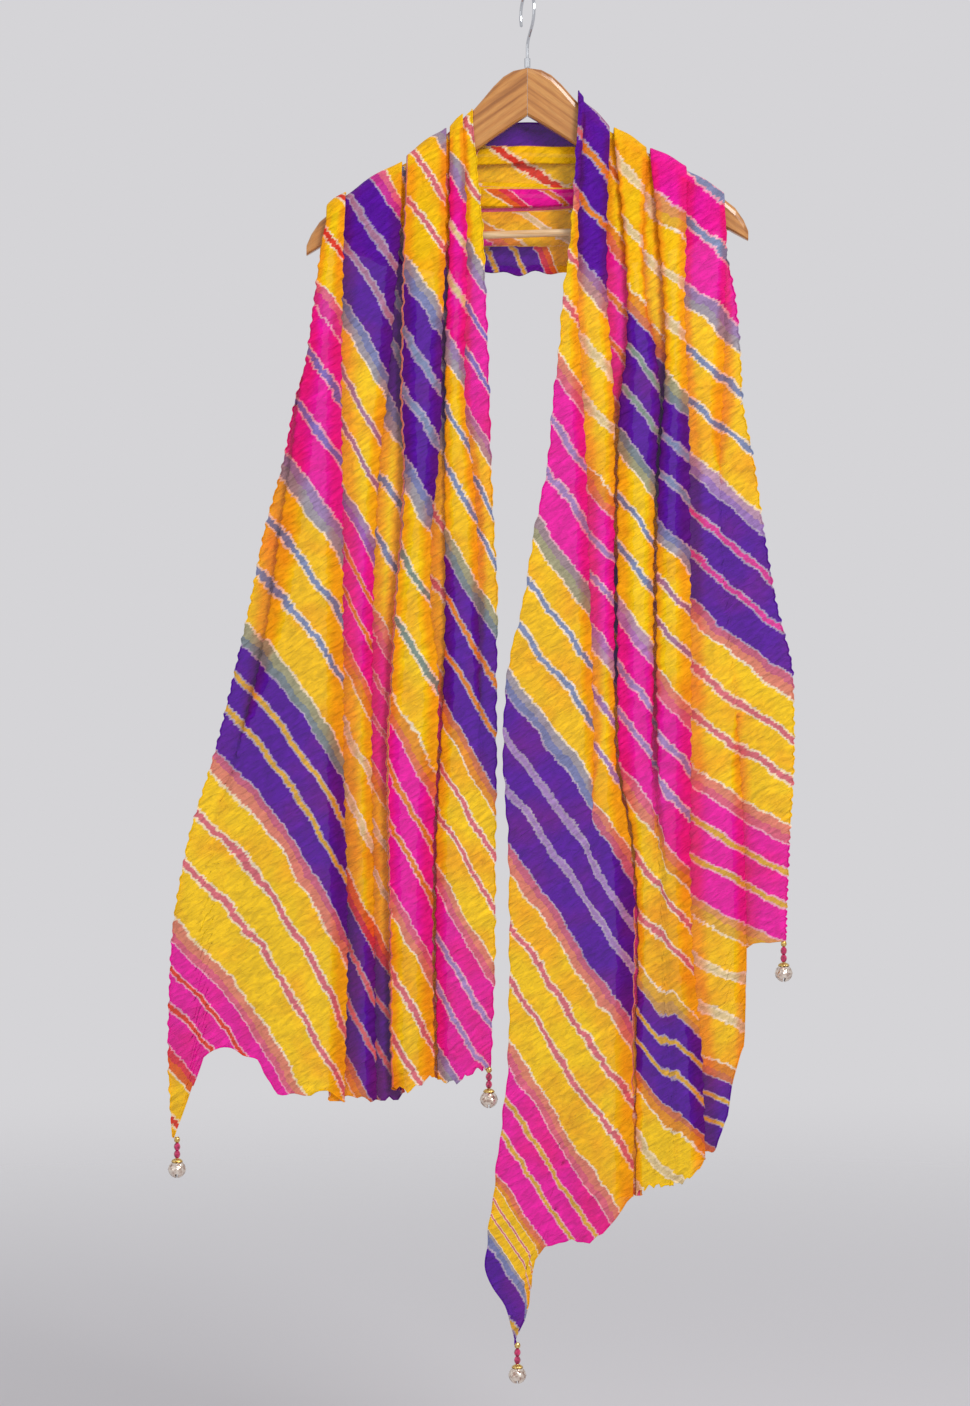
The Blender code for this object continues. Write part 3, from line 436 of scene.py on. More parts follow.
def back_column(role, places):
    places = np.asarray(places, float)
    sets = [[line[0] for line in LEFT.lines], list(BACK_DROPS), [line[0] for line in RIGHT.lines]]
    shares = [[(group[1] - line) / (group[1] - group[FACES]) for line in group] for group in sets]
    width = read((-1, 0, 1), [group[1] - group[FACES] for group in sets], places)
    lines = [-read((-1, 0, 1), row, places) * width for row in zip(*shares)]
    stations = (-1, -0.5, 0, 0.5, 1)
    levels, overlaps = [], []
    for face in range(FACES):
        left, right = LEFT.levels[0][2 + face], RIGHT.levels[0][2 + face]
        levels.append(read(stations, (left, left, BACK_LEVELS[face], right, right), places))
    for index in range(FOLDS):
        left, right = LEFT.overlaps[0][1 + index], RIGHT.overlaps[0][1 + index]
        middle = (-6.0,) * 3 if index in (1, 6) else (left, (left + right) / 2.0, right)
        overlaps.append(read(stations, (left, *middle, right), places))
    place, level = cross_section(role, lines, levels, overlaps)
    share = place / width
    points = []
    for where, part, depth in zip(places, share, level):
        fall = LEFT if where <= 0.0 else RIGHT
        outer = fall.lines[1][0]
        start_x = fall.side * (outer - part * (outer - fall.lines[FACES][0]))
        start_z = arm_crest(start_x)[0]
        end_z = -(BACK_DROPS[1] - part * (BACK_DROPS[1] - BACK_DROPS[FACES]))
        reach = math.hypot(start_x, end_z - start_z)
        t = 1.0 - abs(where)
        weights = ((1 - t) ** 3, 3 * t * (1 - t) ** 2, 3 * t * t * (1 - t), t ** 3)
        xs = (start_x, start_x, fall.side * 0.45 * reach, 0.0)
        zs = (start_z, start_z - 0.2 * reach, end_z, end_z)
        x = sum(w * a for w, a in zip(weights, xs))
        z = sum(w * a for w, a in zip(weights, zs))
        radius = CREST + (BACK_MIDDLE - CREST) * float(ease(t))
        wave = 2.0 * math.pi * (part * 150.0 + 9.0 * math.sin(where * 4.0)) / 13.0
        ripple = 0.5 * math.sin(wave) * float(ease(t * 4.0))
        flutter = 3.0 * max(0.0, 1.0 - 6.0 * part) * math.sin(x / 5.5) * math.cos(x / 23.0)
        edge = flutter * float(ease(t * 2.0))
        points.append((x, radius + depth + ripple, z + edge))
    drop = np.array([BACK_DYE_DROP])
    sides = [fall.dye_at(role, -fall.at_crest(role)[0], drop) for fall in (LEFT, RIGHT)]
    phases, lines, washes = [], [], []
    for (x, _, z), where in zip(points, places):
        crest_phase, crest_line, crest_wash = sides[0 if where <= 0.0 else 1]
        phase, line, wash = back_dye(x, -z)
        change = float(crest_phase[0]) + 4.0 * round((phase - float(crest_phase[0])) / 4.0) - phase
        phases.append(phase + change * float(ease((abs(where) - 0.35) / 0.55)))
        lines.append(TINT_COLOURS[line] if abs(where) < 0.6 else crest_line[0])
        washes.append(TINT_COLOURS[wash] if abs(where) < 0.6 else crest_wash[0])
    return points, phases, lines, washes, list(-BACK_WEAVE * places), [CREST_DOUBLED_SHADE] * len(points)


def dye_mesh(mesh, columns):
    """Store the dye, and the share of painted shade where the cloth is doubled, on a mesh whose points run
    column by column.
    """
    dye = mesh.attributes.new("dye", "FLOAT", "POINT")
    dye.data.foreach_set("value", [value for column in columns for value in column[1]])
    doubled_shade = mesh.attributes.new("doubled_shade", "FLOAT", "POINT")
    doubled_shade.data.foreach_set("value", [value for column in columns for value in column[-1]])
    for name, index in (("line", 2), ("wash", 3)):
        tint = mesh.attributes.new(name, "FLOAT_COLOR", "POINT")
        tones = [tone for column in columns for tone in column[index]]
        tint.data.foreach_set("color", [part for tone in tones for part in tone])


def link_piece(name, points, faces):
    mesh = bpy.data.meshes.new(name)
    mesh.from_pydata([tuple(c * MM for c in point) for point in points], [], faces)
    made = bpy.data.objects.new(name, mesh)
    bpy.context.scene.collection.objects.link(made)
    mesh.shade_smooth()
    return made


def cloth_piece(name, columns, front):
    """A sheet of cloth on columns of points, with its dye, its painted shade where it is doubled, and its own
    weave coordinates.
    """
    rows = len(columns[0][0])
    faces = []
    for column in range(len(columns) - 1):
        for row in range(rows - 1):
            a, b = column * rows + row, (column + 1) * rows + row
            faces.append((a, b, b + 1, a + 1) if front > 0 else (a, a + 1, b + 1, b))
    made = link_piece(name, [point for column in columns for point in column[0]], faces)
    dye_mesh(made.data, columns)
    middle = rows // 2
    along = [0.0]
    for before, after in zip(columns, columns[1:]):
        along.append(along[-1] + math.dist(before[0][middle], after[0][middle]))
    across = np.repeat(along, rows)
    down = np.array([value for column in columns for value in column[4]])
    corners = np.empty(len(made.data.loops), int)
    made.data.loops.foreach_get("vertex_index", corners)
    weave = made.data.uv_layers.new(name="weave")
    weave.data.foreach_set("uv", np.stack((across[corners], down[corners]), axis=1).ravel() * MM)
    return made


# Rows down a fall, over the crest from the seam to the front, behind the crest, and on each side of the back.
FALL_STEPS, WRAP_STEPS, TUCK_STEPS, BACK_STEPS = 430, 12, 4, 70
FALL_ROWS = [row / FALL_STEPS for row in range(FALL_STEPS + 1)]
WRAP_TURNS = [1.0 - row / WRAP_STEPS for row in range(WRAP_STEPS)]
TUCK_TURNS = [row / TUCK_STEPS for row in range(TUCK_STEPS)]


def fall_columns(fall):
    columns = []
    for role in cloth_roles():
        start = fall.split(role, -1)
        top = fall.wrap(role, [start * share for share in WRAP_TURNS])
        rest = fall.column(role, FALL_ROWS)
        columns.append(tuple(list(a) + list(b) for a, b in zip(top, rest)))
    return columns


left_columns = fall_columns(LEFT)
right_columns = fall_columns(RIGHT)
back_columns = []
for role in cloth_roles():
    left_start, right_start = LEFT.split(role, 1), RIGHT.split(role, 1)
    left_turns = [left_start + (math.pi - left_start) * share for share in TUCK_TURNS]
    right_turns = [right_start + (math.pi - right_start) * share for share in reversed(TUCK_TURNS)]
    places = np.array([-1.0 + step / BACK_STEPS for step in range(2 * BACK_STEPS + 1)])
    parts = (LEFT.wrap(role, left_turns), back_column(role, places), RIGHT.wrap(role, right_turns))
    back_columns.append(tuple(list(a) + list(b) + list(c) for a, b, c in zip(*parts)))
left_cloth = cloth_piece("left_fall_cloth", left_columns, LEFT.side)
right_cloth = cloth_piece("right_fall_cloth", right_columns, RIGHT.side)
back_cloth = cloth_piece("back_cloth", back_columns, 1)


# The cloth's edges are rolled by hand into a narrow hem, under 2 mm thick, that is whipped down with matching
# thread. It is one roll along each selvage and along the bottom of each end, and takes the dye of the cloth.
HEM_RADIUS = 0.75
HEM_SIDES = 6


def rolled_hem(name, path):
    """A thin roll along a path of points, each with its dye, tints and share of painted shade."""
    places = np.array([point[0] for point in path])
    ways = np.gradient(places, axis=0)
    points, columns, faces = [], [], []
    for place, way, point in zip(places, ways, path):
        way = Vector(way).normalized()
        side = way.cross(Vector((0.31, 1.0, 0.17))).normalized()
        lift = way.cross(side)
        ring = [Vector(place) + HEM_RADIUS * (math.cos(turn) * side + math.sin(turn) * lift)
                for turn in (2.0 * math.pi * step / HEM_SIDES for step in range(HEM_SIDES))]
        points += ring
        columns.append((ring, *([value] * HEM_SIDES for value in point[1:])))
    for ring in range(len(path) - 1):
        for step in range(HEM_SIDES):
            a, b = ring * HEM_SIDES + step, ring * HEM_SIDES + (step + 1) % HEM_SIDES
            faces.append((a, a + HEM_SIDES, b + HEM_SIDES, b))
    last = (len(path) - 1) * HEM_SIDES
    faces.append(tuple(range(HEM_SIDES)))
    faces.append(tuple(last + step for step in reversed(range(HEM_SIDES))))
    made = link_piece(name, points, faces)
    dye_mesh(made.data, columns)
    return made


def edge_path(column, rows):
    return [tuple(values[row] for values in column) for row in rows]


hems = []
for name, columns in (("left_fall_hem", left_columns), ("right_fall_hem", right_columns)):
    rows = range(len(columns[0][0]))
    path = edge_path(columns[0], rows)
    path += [tuple(values[-1] for values in column) for column in columns[1:-1]]
    path += edge_path(columns[-1], reversed(rows))
    hems.append(rolled_hem(name, path))
for name, column in (("back_lower_hem", back_columns[0]), ("back_upper_hem", back_columns[-1])):
    hems.append(rolled_hem(name, edge_path(column, range(len(column[0])))))


def node(tree, kind, inputs=None, stops=(), out=None, **settings):
    """Add one node with its settings, links and ramp stops, and give its first output or the one named."""
    made = tree.nodes.new("ShaderNode" + kind)
    for key, value in settings.items():
        setattr(made.color_ramp if key == "interpolation" else made, key, value)
    for key, value in (inputs or {}).items():
        if isinstance(value, bpy.types.NodeSocket):
            tree.links.new(value, made.inputs[key])
        else:
            made.inputs[key].default_value = value
    if stops:
        elements = made.color_ramp.elements
        elements[0].position, elements[1].position = stops[0][0], stops[-1][0]
        for position, _ in stops[1:-1]:
            elements.new(position)
        for element, (_, code) in zip(elements, stops):
            element.color = colour(code)
    return made.outputs[out] if out else next(socket for socket in made.outputs if socket.enabled)


def new_material(name, **values):
    """A material with its tree, its shader and the place by which its patterns are laid."""
    made = bpy.data.materials.new(name)
    made.use_nodes = True
    tree = made.node_tree
    shader = tree.nodes["Principled BSDF"]
    for key, value in values.items():
        shader.inputs[key.replace("_", " ")].default_value = value
    return made, tree, shader, node(tree, "TexCoord", out="Object")


def strokes(*bands):
    """Ramp stops that are white over each band, given by its soft start, start, end and soft end."""
    stops = [(0.0, "#000000")]
    for begin, start, end, finish in bands:
        stops += [(begin, "#000000"), (start, "#FFFFFF"), (end, "#FFFFFF"), (finish, "#000000")]
    return stops + [(1.0, "#000000")]


# Crepe chiffon of twisted silk, tied and dyed by hand. The dye creeps along the twisted yarn, so each band
# ends in fine teeth. A wash of another colour lies over each change, and two tied lines cross each band, each
# with a pale edge that the thread kept dry. The sheer cloth lets a little of what is behind it through.
FIBRE_RISE = math.radians(-35.0)
TEETH, SWAY = 0.015, 0.03


def chiffon(name, alpha):
    made, tree, shader, place = new_material(name, Roughness=0.62, Alpha=alpha, IOR=1.4,
                                             Specular_IOR_Level=0.2)
    dye = node(tree, "Attribute", attribute_name="dye", out="Fac")

    # Along the fibre run teeth 2.4 mm apart and up to 22 mm long, and crinkles 4 mm apart and 15 mm long.
    fibre, crepe = [
        node(tree, "Mapping", {"Vector": place, "Rotation": (0.0, FIBRE_RISE, 0.0),
                               "Scale": (length * MM, 0.05, spacing * MM)}, vector_type="TEXTURE")
        for length, spacing in ((22.0, 2.4), (15.0, 4.0))]

    # The band's edge has those teeth and a slow sway, each a small share of a band.
    teeth = node(tree, "TexNoise", {"Vector": fibre, "Scale": 1.0, "Detail": 3.0})
    sway = node(tree, "TexNoise", {"Vector": place, "Scale": 30.0, "Detail": 2.0})
    teeth, sway = [
        node(tree, "MapRange", {"Value": noise, "From Min": 0.25, "From Max": 0.75, "To Min": -share,
                                "To Max": share})
        for noise, share in ((teeth, TEETH), (sway, SWAY))]
    phase = node(tree, "Math", {0: dye, 1: teeth}, operation="ADD")
    phase = node(tree, "Math", {0: phase, 1: sway}, operation="ADD")
    cycle = node(tree, "Math", {0: phase, 1: 4.0}, operation="FLOORED_MODULO")
    cycle = node(tree, "Math", {0: cycle, 1: 0.25}, operation="MULTIPLY")
    quarter = node(tree, "Math", {0: phase, 1: 1.0}, operation="FLOORED_MODULO")

    # Yellow, pink, yellow and purple, each with a stronger second tone where more dye took, and how far the
    # dry edges show in each.
    plain, deep, kept = [
        node(tree, "ValToRGB", {"Fac": cycle}, tuple(zip((0.0, 0.25, 0.5, 0.75), codes)),
             interpolation="CONSTANT")
        for codes in (("#FFCE02", "#F20EA4", "#FFC804", "#58049E"),
                      ("#FFB203", "#EE0E86", "#FCA604", "#6E0C92"),
                      ("#F0F0F0", "#C8C8C8", "#F0F0F0", "#BABABA"))]
    cloud = node(tree, "TexNoise", {"Vector": place, "Scale": 19.0, "Detail": 3.0})
    cloud = node(tree, "MapRange", {"Value": cloud, "From Min": 0.46, "From Max": 0.72})
    dyed = node(tree, "Mix", {"Factor": cloud, "A": plain, "B": deep}, data_type="RGBA")
    washed, tied, dry = [node(tree, "ValToRGB", {"Fac": quarter}, stops) for stops in (
        ((0.0, "#E8E8E8"), (0.066, "#E8E8E8"), (0.080, "#000000"), (0.925, "#000000"), (0.940, "#E8E8E8"),
         (1.0, "#E8E8E8")),
        strokes((0.304, 0.310, 0.352, 0.358), (0.594, 0.600, 0.640, 0.646)),
        strokes((0.066, 0.073, 0.083, 0.091), (0.288, 0.295, 0.305, 0.313), (0.350, 0.357, 0.366, 0.374),
                (0.578, 0.585, 0.595, 0.603), (0.638, 0.645, 0.654, 0.662), (0.916, 0.923, 0.932, 0.940)))]
    wash, line = [node(tree, "Attribute", attribute_name=key) for key in ("wash", "line")]
    patchy = node(tree, "MapRange", {"Value": sway, "From Min": -SWAY, "From Max": SWAY, "To Min": 0.6})
    dry = node(tree, "Math", {0: dry, 1: kept}, operation="MULTIPLY")
    dry = node(tree, "Math", {0: dry, 1: patchy}, operation="MULTIPLY")
    for share, tone in ((washed, wash), (tied, line), (dry, colour("#FBEFE2"))):
        dyed = node(tree, "Mix", {"Factor": share, "A": dyed, "B": tone}, data_type="RGBA")

    # Where a hidden fold lies behind, painted shade deepens what shows, standing in for light filtered
    # through the doubled cloth: yellow turns orange, and pink turns red.
    under = node(tree, "Attribute", attribute_name="doubled_shade", out="Fac")
    under = node(tree, "Math", {0: under, 1: 0.75}, operation="MULTIPLY")
    dyed = node(tree, "Mix", {"Factor": under, "A": dyed, "B": colour("#FFB9B0")}, data_type="RGBA",
                blend_type="MULTIPLY")

    # Crinkles 4 mm apart with finer ones between them. The same crinkle paints shade into their hollows and a
    # faint highlight on their ridges, on top of the bump.
    rumple = node(tree, "TexNoise", {"Vector": crepe, "Scale": 1.0, "Detail": 5.0, "Roughness": 0.6,
                                     "Distortion": 0.8})
    shade = node(tree, "MapRange", {"Value": rumple, "From Min": 0.3, "From Max": 0.7, "To Min": 0.7,
                                    "To Max": 1.12})
    dyed = node(tree, "VectorMath", {0: dyed, "Scale": shade}, operation="SCALE")
    tree.links.new(dyed, shader.inputs["Base Color"])
    bump = node(tree, "Bump", {"Height": rumple, "Strength": 1.0, "Distance": 0.003})
    tree.links.new(bump, shader.inputs["Normal"])
    return made


chiffon_cloth = chiffon("Dyed crepe chiffon with painted shade", 0.972)
rolled_edge = chiffon("Rolled edge of dyed chiffon", 1.0)
for cloth, solid in (
        (left_cloth, "stole_left_fall"), (right_cloth, "stole_right_fall"), (back_cloth, "stole_back")):
    cloth.data.materials.append(chiffon_cloth)
    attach(cloth, "stole_and_hanger")
    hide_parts(solid)
for hem in hems:
    hem.data.materials.append(rolled_edge)
    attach(hem, "stole_and_hanger")

for cloth, edges in ((left_cloth, hems[:1]), (right_cloth, hems[1:2]), (back_cloth, hems[2:])):
    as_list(edges)


# A drop is sewn to each corner: a small gilt bead, two cut pink glass beads and a gilt cap on one thread,
# above a hollow ball bell. Each is modelled once, under the origin, and a copy is moved to each corner.
CORNERS = {
    "left_outer": (-0.35, -0.016972, -1.149), "left_inner": (-0.0386, -0.011208, -1.08),
    "right_outer": (0.2565, -0.009075, -0.954), "right_inner": (-0.0102, -0.019708, -1.354),
}
GILT_RADIUS, GLASS_RADIUS, GLASS_HALF, GLASS_MIDDLES = 3.0, 3.3, 3.75, (-7.0, -14.6)
THREAD_RADIUS, THREAD_LENGTH, THREAD_MIDDLE = 0.7, 19.0, -10.0
CAP_TOP, CAP_FOOT = -18.7, -22.4
BELL_MIDDLE, BELL_RADIUS, BELL_WALL = -29.5, 8.7, 0.8


def start_piece(name, add, height, **sizes):
    """Add a primitive with nothing else selected, give it its name, and open it for editing."""
    bpy.ops.object.select_all(action="DESELECT")
    add(location=(0.0, 0.0, height * MM), **sizes)
    made = bpy.context.active_object
    made.name = made.data.name = name
    bpy.ops.object.mode_set(mode="EDIT")
    return made


def pick_faces(piece, test):
    """In edit mode, select only the faces whose middle and normal pass a test, in millimetres."""
    bpy.ops.mesh.select_mode(type="FACE")
    bpy.ops.mesh.select_all(action="DESELECT")
    bpy.ops.object.mode_set(mode="OBJECT")
    for face in piece.data.polygons:
        face.select = test(piece.matrix_world @ face.center / MM, face.normal)
    bpy.ops.object.mode_set(mode="EDIT")


def settle(piece):
    """Leave edit mode, and put a finished piece's place in its mesh."""
    bpy.ops.object.mode_set(mode="OBJECT")
    bpy.ops.object.select_all(action="DESELECT")
    piece.select_set(True)
    bpy.context.view_layer.objects.active = piece
    bpy.ops.object.transform_apply(location=True, rotation=True, scale=True)


def strung_bead(name, middle, radius, half, sides, waist, cut):
    """A bead turned or cut from a short rod: its ends are drawn out and narrowed, then drilled."""
    bead = start_piece(name, bpy.ops.mesh.primitive_cylinder_add, middle, vertices=sides, radius=radius * MM,
                       depth=waist * 2.0 * MM)
    for end in (1, -1):
        pick_faces(bead, lambda at, normal: normal.z * end > 0.9)
        for share, narrow in ((0.6, 0.80), (0.4, 0.62)):
            rise = (half - waist) * share * end * MM
            bpy.ops.mesh.extrude_region_move(TRANSFORM_OT_translate={"value": (0.0, 0.0, rise)})
            bpy.ops.transform.resize(value=(narrow, narrow, 1.0))
        bpy.ops.mesh.inset(thickness=0.45 * MM)
        bpy.ops.mesh.extrude_region_move(TRANSFORM_OT_translate={"value": (0.0, 0.0, -0.5 * end * MM)})
    bpy.ops.mesh.select_all(action="SELECT")
    bpy.ops.mesh.bevel(offset=cut * MM, segments=1, affect="EDGES")
    settle(bead)
    return bead


gilt_bead = strung_bead("gilt_bead", 0.0, GILT_RADIUS, GILT_RADIUS, 16, 0.8, 0.12)
glass_beads = [strung_bead("glass_bead_" + str(number), middle, GLASS_RADIUS, GLASS_HALF, 8, 0.7, 0.18)
               for number, middle in enumerate(GLASS_MIDDLES)]

# The thread runs through the beads, from inside the gilt bead down into the cap.
thread = start_piece("drop_thread", bpy.ops.mesh.primitive_cylinder_add, THREAD_MIDDLE, vertices=10,
                     radius=THREAD_RADIUS * MM, depth=THREAD_LENGTH * MM)
bpy.ops.mesh.select_all(action="SELECT")
bpy.ops.mesh.subdivide(number_cuts=6)
settle(thread)

# The cap is stamped from thin gilt brass, with eight pinched petals round its foot.
cap = start_piece("gilt_cap", bpy.ops.mesh.primitive_cylinder_add, CAP_TOP - 0.2, vertices=32,
                  radius=1.6 * MM, depth=0.4 * MM, end_fill_type="NOTHING")
bpy.ops.mesh.select_mode(type="VERT")
bpy.ops.mesh.select_all(action="DESELECT")
bpy.ops.object.mode_set(mode="OBJECT")
for point in cap.data.vertices:
    point.select = point.co.z < 0.0
bpy.ops.object.mode_set(mode="EDIT")
for drop, widen in ((0.5, 1.9), (1.1, 1.45), (1.0, 1.13), (0.7, 1.02)):
    bpy.ops.mesh.extrude_region_move(TRANSFORM_OT_translate={"value": (0.0, 0.0, -drop * MM)})
    bpy.ops.transform.resize(value=(widen, widen, 1.0))
settle(cap)
for point in cap.data.vertices:
    depth = min(max((CAP_TOP * MM - point.co.z) / ((CAP_TOP - CAP_FOOT) * MM), 0.0), 1.0)
    turn = math.atan2(point.co.y, point.co.x)
    pinch = 1.0 + depth * 0.07 * math.cos(8.0 * turn)
    point.co.x, point.co.y = point.co.x * pinch, point.co.y * pinch
    point.co.z += depth * 0.45 * MM * math.cos(8.0 * turn)
wall = cap.modifiers.new("wall", "SOLIDIFY")
wall.thickness, wall.offset = 0.35 * MM, 1.0
bpy.ops.object.modifier_apply(modifier="wall")

# The bell is two cups of plated brass pressed together, with a rolled seam round its middle, ribs down both
# cups, and a cross-shaped mouth cut below that lets the pellet sound.
bell = start_piece("ball_bell", bpy.ops.mesh.primitive_uv_sphere_add, BELL_MIDDLE, segments=32,
                   ring_count=24, radius=BELL_RADIUS * MM)


def in_mouth(at, normal):
    low = at.z - BELL_MIDDLE < -0.55 * BELL_RADIUS
    return low and (abs(at.x) < 0.9 or abs(at.y) < 0.9)


pick_faces(bell, in_mouth)
bpy.ops.mesh.delete(type="FACE")
settle(bell)
for point in bell.data.vertices:
    rise = point.co.z / MM - BELL_MIDDLE
    turn = math.atan2(point.co.y, point.co.x)
    seam = 0.45 * math.exp(-(rise / 0.7) ** 2)
    ribs = 0.16 * math.cos(16.0 * turn) * max(0.0, 1.0 - abs(abs(rise) - 4.2) / 3.2)
    swell = 1.0 + (seam + ribs) / BELL_RADIUS
    point.co.x, point.co.y = point.co.x * swell, point.co.y * swell
wall = bell.modifiers.new("wall", "SOLIDIFY")
wall.thickness, wall.offset = BELL_WALL * MM, -1.0
bpy.ops.object.modifier_apply(modifier="wall")

# The shank is a wire loop that the cap hides; the thread is tied to it.
shank = start_piece("bell_shank", bpy.ops.mesh.primitive_torus_add, -20.9, major_segments=20,
                    minor_segments=8, major_radius=1.1 * MM, minor_radius=0.35 * MM,
                    rotation=(math.pi / 2.0, 0.0, 0.0))
bpy.ops.mesh.select_all(action="SELECT")
bpy.ops.transform.resize(value=(0.9, 1.0, 1.15))
settle(shank)

# Gilt brass: a thin gold wash, worn paler and slightly uneven in places.
gilt, tree, shader, place = new_material("Gilt brass", Metallic=1.0, Roughness=0.28)
wear = node(tree, "TexNoise", {"Vector": place, "Scale": 700.0, "Detail": 3.0})
tone = node(tree, "ValToRGB", {"Fac": wear}, ((0.35, "#A8762C"), (0.5, "#E0B860"), (0.7, "#F2E2B0")))
tree.links.new(tone, shader.inputs["Base Color"])
bump = node(tree, "Bump", {"Height": wear, "Strength": 0.35, "Distance": 0.0004})
tree.links.new(bump, shader.inputs["Normal"])

# Cut glass, dyed pink through, with bright flat facets and a clear hard gloss. Its darkness in its depth is
# painted: a noise paints darker and lighter patches into the pink, standing in for light through the glass.
glass, tree, shader, place = new_material("Pink cut glass", Roughness=0.07, IOR=1.52, Coat_Weight=0.6,
                                          Coat_Roughness=0.03)
depth = node(tree, "TexNoise", {"Vector": place, "Scale": 300.0, "Detail": 2.0})
tone = node(tree, "ValToRGB", {"Fac": depth}, ((0.35, "#7A0434"), (0.55, "#C40F5A"), (0.75, "#E0307C")))
tree.links.new(tone, shader.inputs["Base Color"])

# Twisted cotton thread, dyed to match the beads.
cotton, tree, shader, place = new_material("Dyed cotton thread", Roughness=0.85)
twist = node(tree, "TexWave", {"Vector": place, "Scale": 900.0, "Distortion": 1.0},
             bands_direction="DIAGONAL", out="Fac")
tone = node(tree, "ValToRGB", {"Fac": twist}, ((0.2, "#7A1038"), (0.8, "#B02A5C")))
tree.links.new(tone, shader.inputs["Base Color"])

# White metal plate over brass: silvery and slightly rosy, hammered by wear into small dents.
white_metal, tree, shader, place = new_material("Worn white metal plate", Metallic=1.0, Roughness=0.24)
dents = node(tree, "TexVoronoi", {"Vector": place, "Scale": 480.0})
patina = node(tree, "TexNoise", {"Vector": place, "Scale": 260.0, "Detail": 3.0})
tone = node(tree, "ValToRGB", {"Fac": patina}, ((0.35, "#A98A7C"), (0.5, "#E2D2C4"), (0.68, "#F4EADC")))
tree.links.new(tone, shader.inputs["Base Color"])
bump = node(tree, "Bump", {"Height": dents, "Strength": 0.6, "Distance": 0.0008})
tree.links.new(bump, shader.inputs["Normal"])

for piece, finish in ((gilt_bead, gilt), (cap, gilt), (thread, cotton), (bell, white_metal),
                      (shank, white_metal), *((bead, glass) for bead in glass_beads)):
    piece.data.materials.clear()
    piece.data.materials.append(finish)
    if finish is not glass:
        piece.data.shade_smooth()


def join_pieces(name, pieces):
    bpy.ops.object.select_all(action="DESELECT")
    for piece in pieces:
        piece.select_set(True)
    bpy.context.view_layer.objects.active = pieces[0]
    bpy.ops.object.join()
    pieces[0].name = pieces[0].data.name = name
    return pieces[0]


strung = join_pieces("drop_beads", [gilt_bead, thread, cap, *glass_beads])
rung = join_pieces("drop_bell", [bell, shank])
for corner, place in CORNERS.items():
    for model, solid, slot in ((strung, "latkan_beads_", "beads"), (rung, "latkan_bell_", "bell_metal")):
        mesh = model.data.copy()
        mesh.transform(Matrix.Translation(place))
        copy = bpy.data.objects.new(model.name + "_" + corner, mesh)
        bpy.context.scene.collection.objects.link(copy)
        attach(copy, "latkan_" + corner)
        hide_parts(solid + corner)
for model in (strung, rung):
    bpy.data.objects.remove(model)


# The hanger's arms and bar are beech, sawn, turned and planed, and lacquered to a warm honey brown. The CAD
# solids are kept and given the wood's grain, which runs along each arm.
def beech(name, turn, tones):
    made, tree, shader, place = new_material(name, Roughness=0.34, Coat_Weight=0.3, Coat_Roughness=0.15)

    # Growth rings 6 mm apart that run for 150 mm, and pores 1 mm apart and 12 mm long.
    grain = []
    for length, spacing, detail in ((150.0, 6.0, 5.0), (12.0, 1.0, 2.0)):
        size = (length * MM, spacing * MM, spacing * MM)
        along = node(tree, "Mapping", {"Vector": place, "Rotation": (0.0, turn, 0.0), "Scale": size},
                     vector_type="TEXTURE")
        grain.append(node(tree, "TexNoise", {"Vector": along, "Scale": 1.0, "Detail": detail,
                                             "Distortion": 0.5}))
    rings, pores = grain
    tone = node(tree, "ValToRGB", {"Fac": rings}, tuple(zip((0.3, 0.47, 0.6, 0.75), tones)))
    shade = node(tree, "MapRange", {"Value": pores, "From Min": 0.35, "From Max": 0.6, "To Min": 0.86})
    tone = node(tree, "VectorMath", {0: tone, "Scale": shade}, operation="SCALE")
    tree.links.new(tone, shader.inputs["Base Color"])
    bump = node(tree, "Bump", {"Height": pores, "Strength": 0.12, "Distance": 0.0004})
    tree.links.new(bump, shader.inputs["Normal"])
    return made


HONEY = ("#9A5F2A", "#BE7E3E", "#CB8F4C", "#B37238")
PALE = ("#C79458", "#DDB382", "#E6C69B", "#D3A26A")
for solid_name, wood, turn, tones in (
        ("hanger_arm_left", "Honey beech of the left arm", -0.62, HONEY),
        ("hanger_arm_right", "Honey beech of the right arm", 0.62, HONEY),
        ("hanger_bar", "Pale beech of the bar", 0.0, PALE)):
    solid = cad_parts[solid_name]
    solid.data.materials.clear()
    solid.data.materials.append(beech(wood, turn, tones))


# The hook is steel wire, bent cold and chrome plated, screwed into the top of the arms through a sleeve.
chrome, tree, shader, place = new_material("Chrome plated steel", Metallic=1.0, Base_Color=colour("#C9CCD0"))
scuff = node(tree, "TexNoise", {"Vector": place, "Scale": 900.0, "Detail": 3.0})
gloss = node(tree, "MapRange", {"Value": scuff, "To Min": 0.09, "To Max": 0.24})
tree.links.new(gloss, shader.inputs["Roughness"])
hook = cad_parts["hanger_hook"]
hook.data.materials.clear()
hook.data.materials.append(chrome)


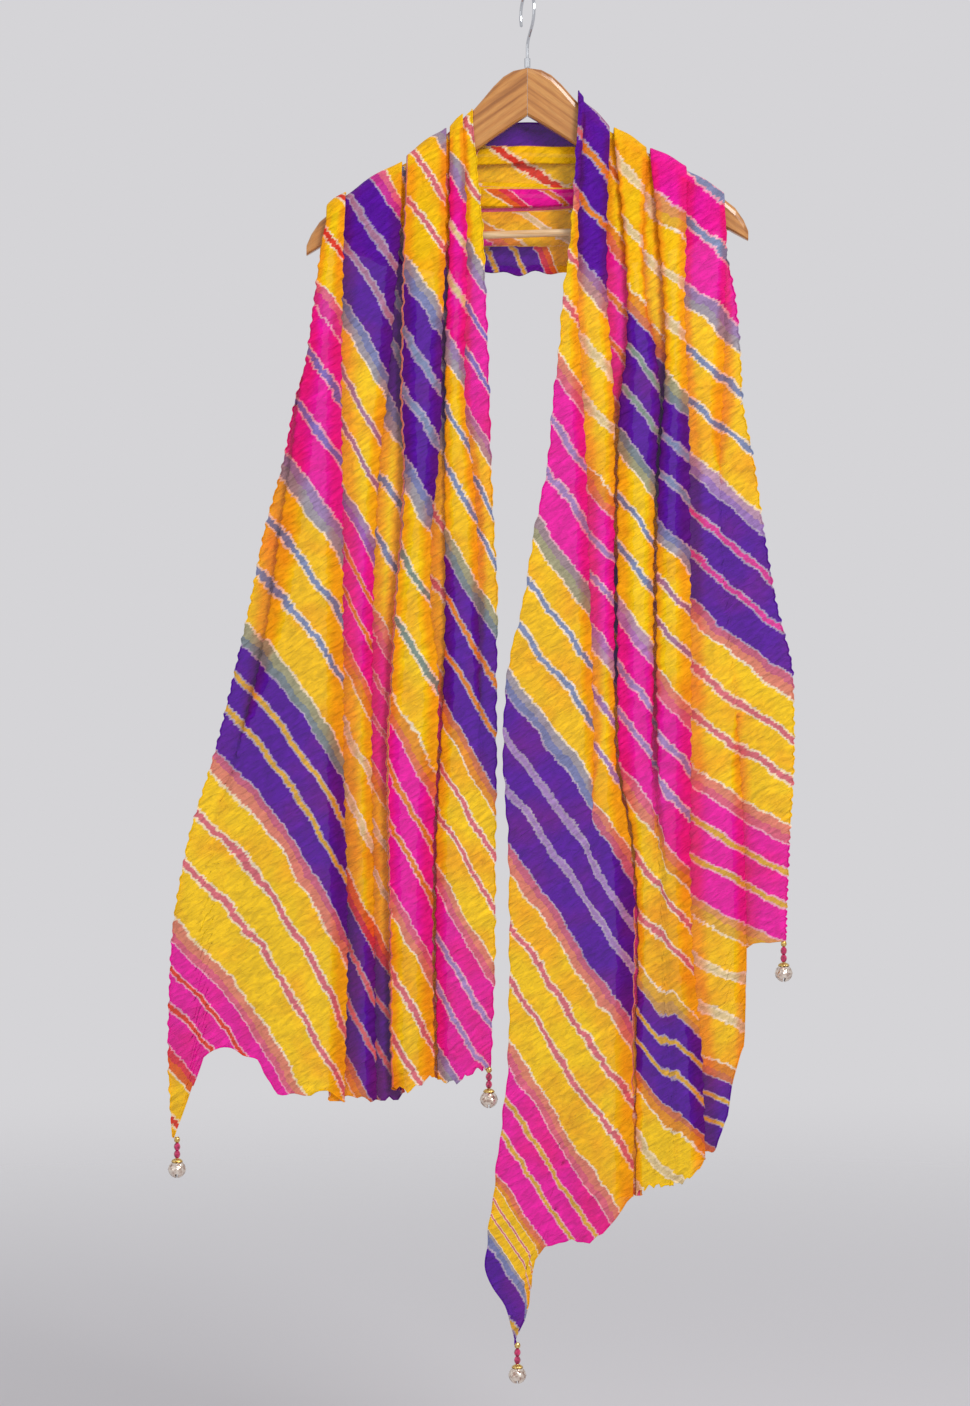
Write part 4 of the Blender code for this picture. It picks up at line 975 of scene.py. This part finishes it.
# The studio: a round pale floor below the hanging piece, which fades into the even pale room, a soft key
# light in front, above and to the right, and a weak fill from the left.
FLOOR_HEIGHT, FLOOR_RADIUS, FADE_START, FADE_END = -1620.0, 5000.0, 1200.0, 4600.0
floor = start_piece("studio_floor", bpy.ops.mesh.primitive_circle_add, FLOOR_HEIGHT, vertices=96,
                    radius=FLOOR_RADIUS * MM, fill_type="NGON")
settle(floor)
paper, tree, shader, place = new_material("White studio paper", Roughness=0.9, Base_Color=colour("#D9D8DA"),
                                          Specular_IOR_Level=0.1)
level = node(tree, "Mapping", {"Vector": place, "Scale": (1.0, 1.0, 0.0)})
reach = node(tree, "VectorMath", {0: level}, operation="LENGTH")
fade = node(tree, "MapRange", {"Value": reach, "From Min": FADE_START * MM, "From Max": FADE_END * MM,
                               "To Min": 1.0, "To Max": 0.0}, interpolation_type="SMOOTHSTEP")
tree.links.new(fade, shader.inputs["Alpha"])
floor.data.materials.append(paper)

scene = bpy.context.scene
world = scene.world or bpy.data.worlds.new("Studio")
scene.world = world
world.use_nodes = True
room = world.node_tree.nodes["Background"].inputs
room["Color"].default_value, room["Strength"].default_value = colour("#D5D4D7"), 1.0

for name, place, aim, size, power in (
        ("key", (1.3, -2.4, 1.3), (0.0, 0.0, -0.6), 0.9, 54.0),
        ("fill", (-2.4, -2.0, -0.2), (0.0, 0.0, -0.7), 2.0, 6.0)):
    lamp = bpy.data.lights.new(name, "AREA")
    lamp.size, lamp.energy = size, power
    holder = bpy.data.objects.new(name, lamp)
    holder.location = place
    holder.rotation_euler = (Vector(aim) - Vector(place)).to_track_quat("-Z", "Y").to_euler()
    scene.collection.objects.link(holder)

lens = bpy.data.cameras.new("camera")
lens.lens, lens.sensor_width, lens.clip_end = 85.0, 36.0, 50.0
camera = bpy.data.objects.new("camera", lens)
camera.location = (-0.0425, -3.332, -0.713)
camera.rotation_euler = (math.pi / 2.0, 0.0, 0.0)
scene.collection.objects.link(camera)
scene.camera = camera
scene.view_settings.view_transform = "Standard"
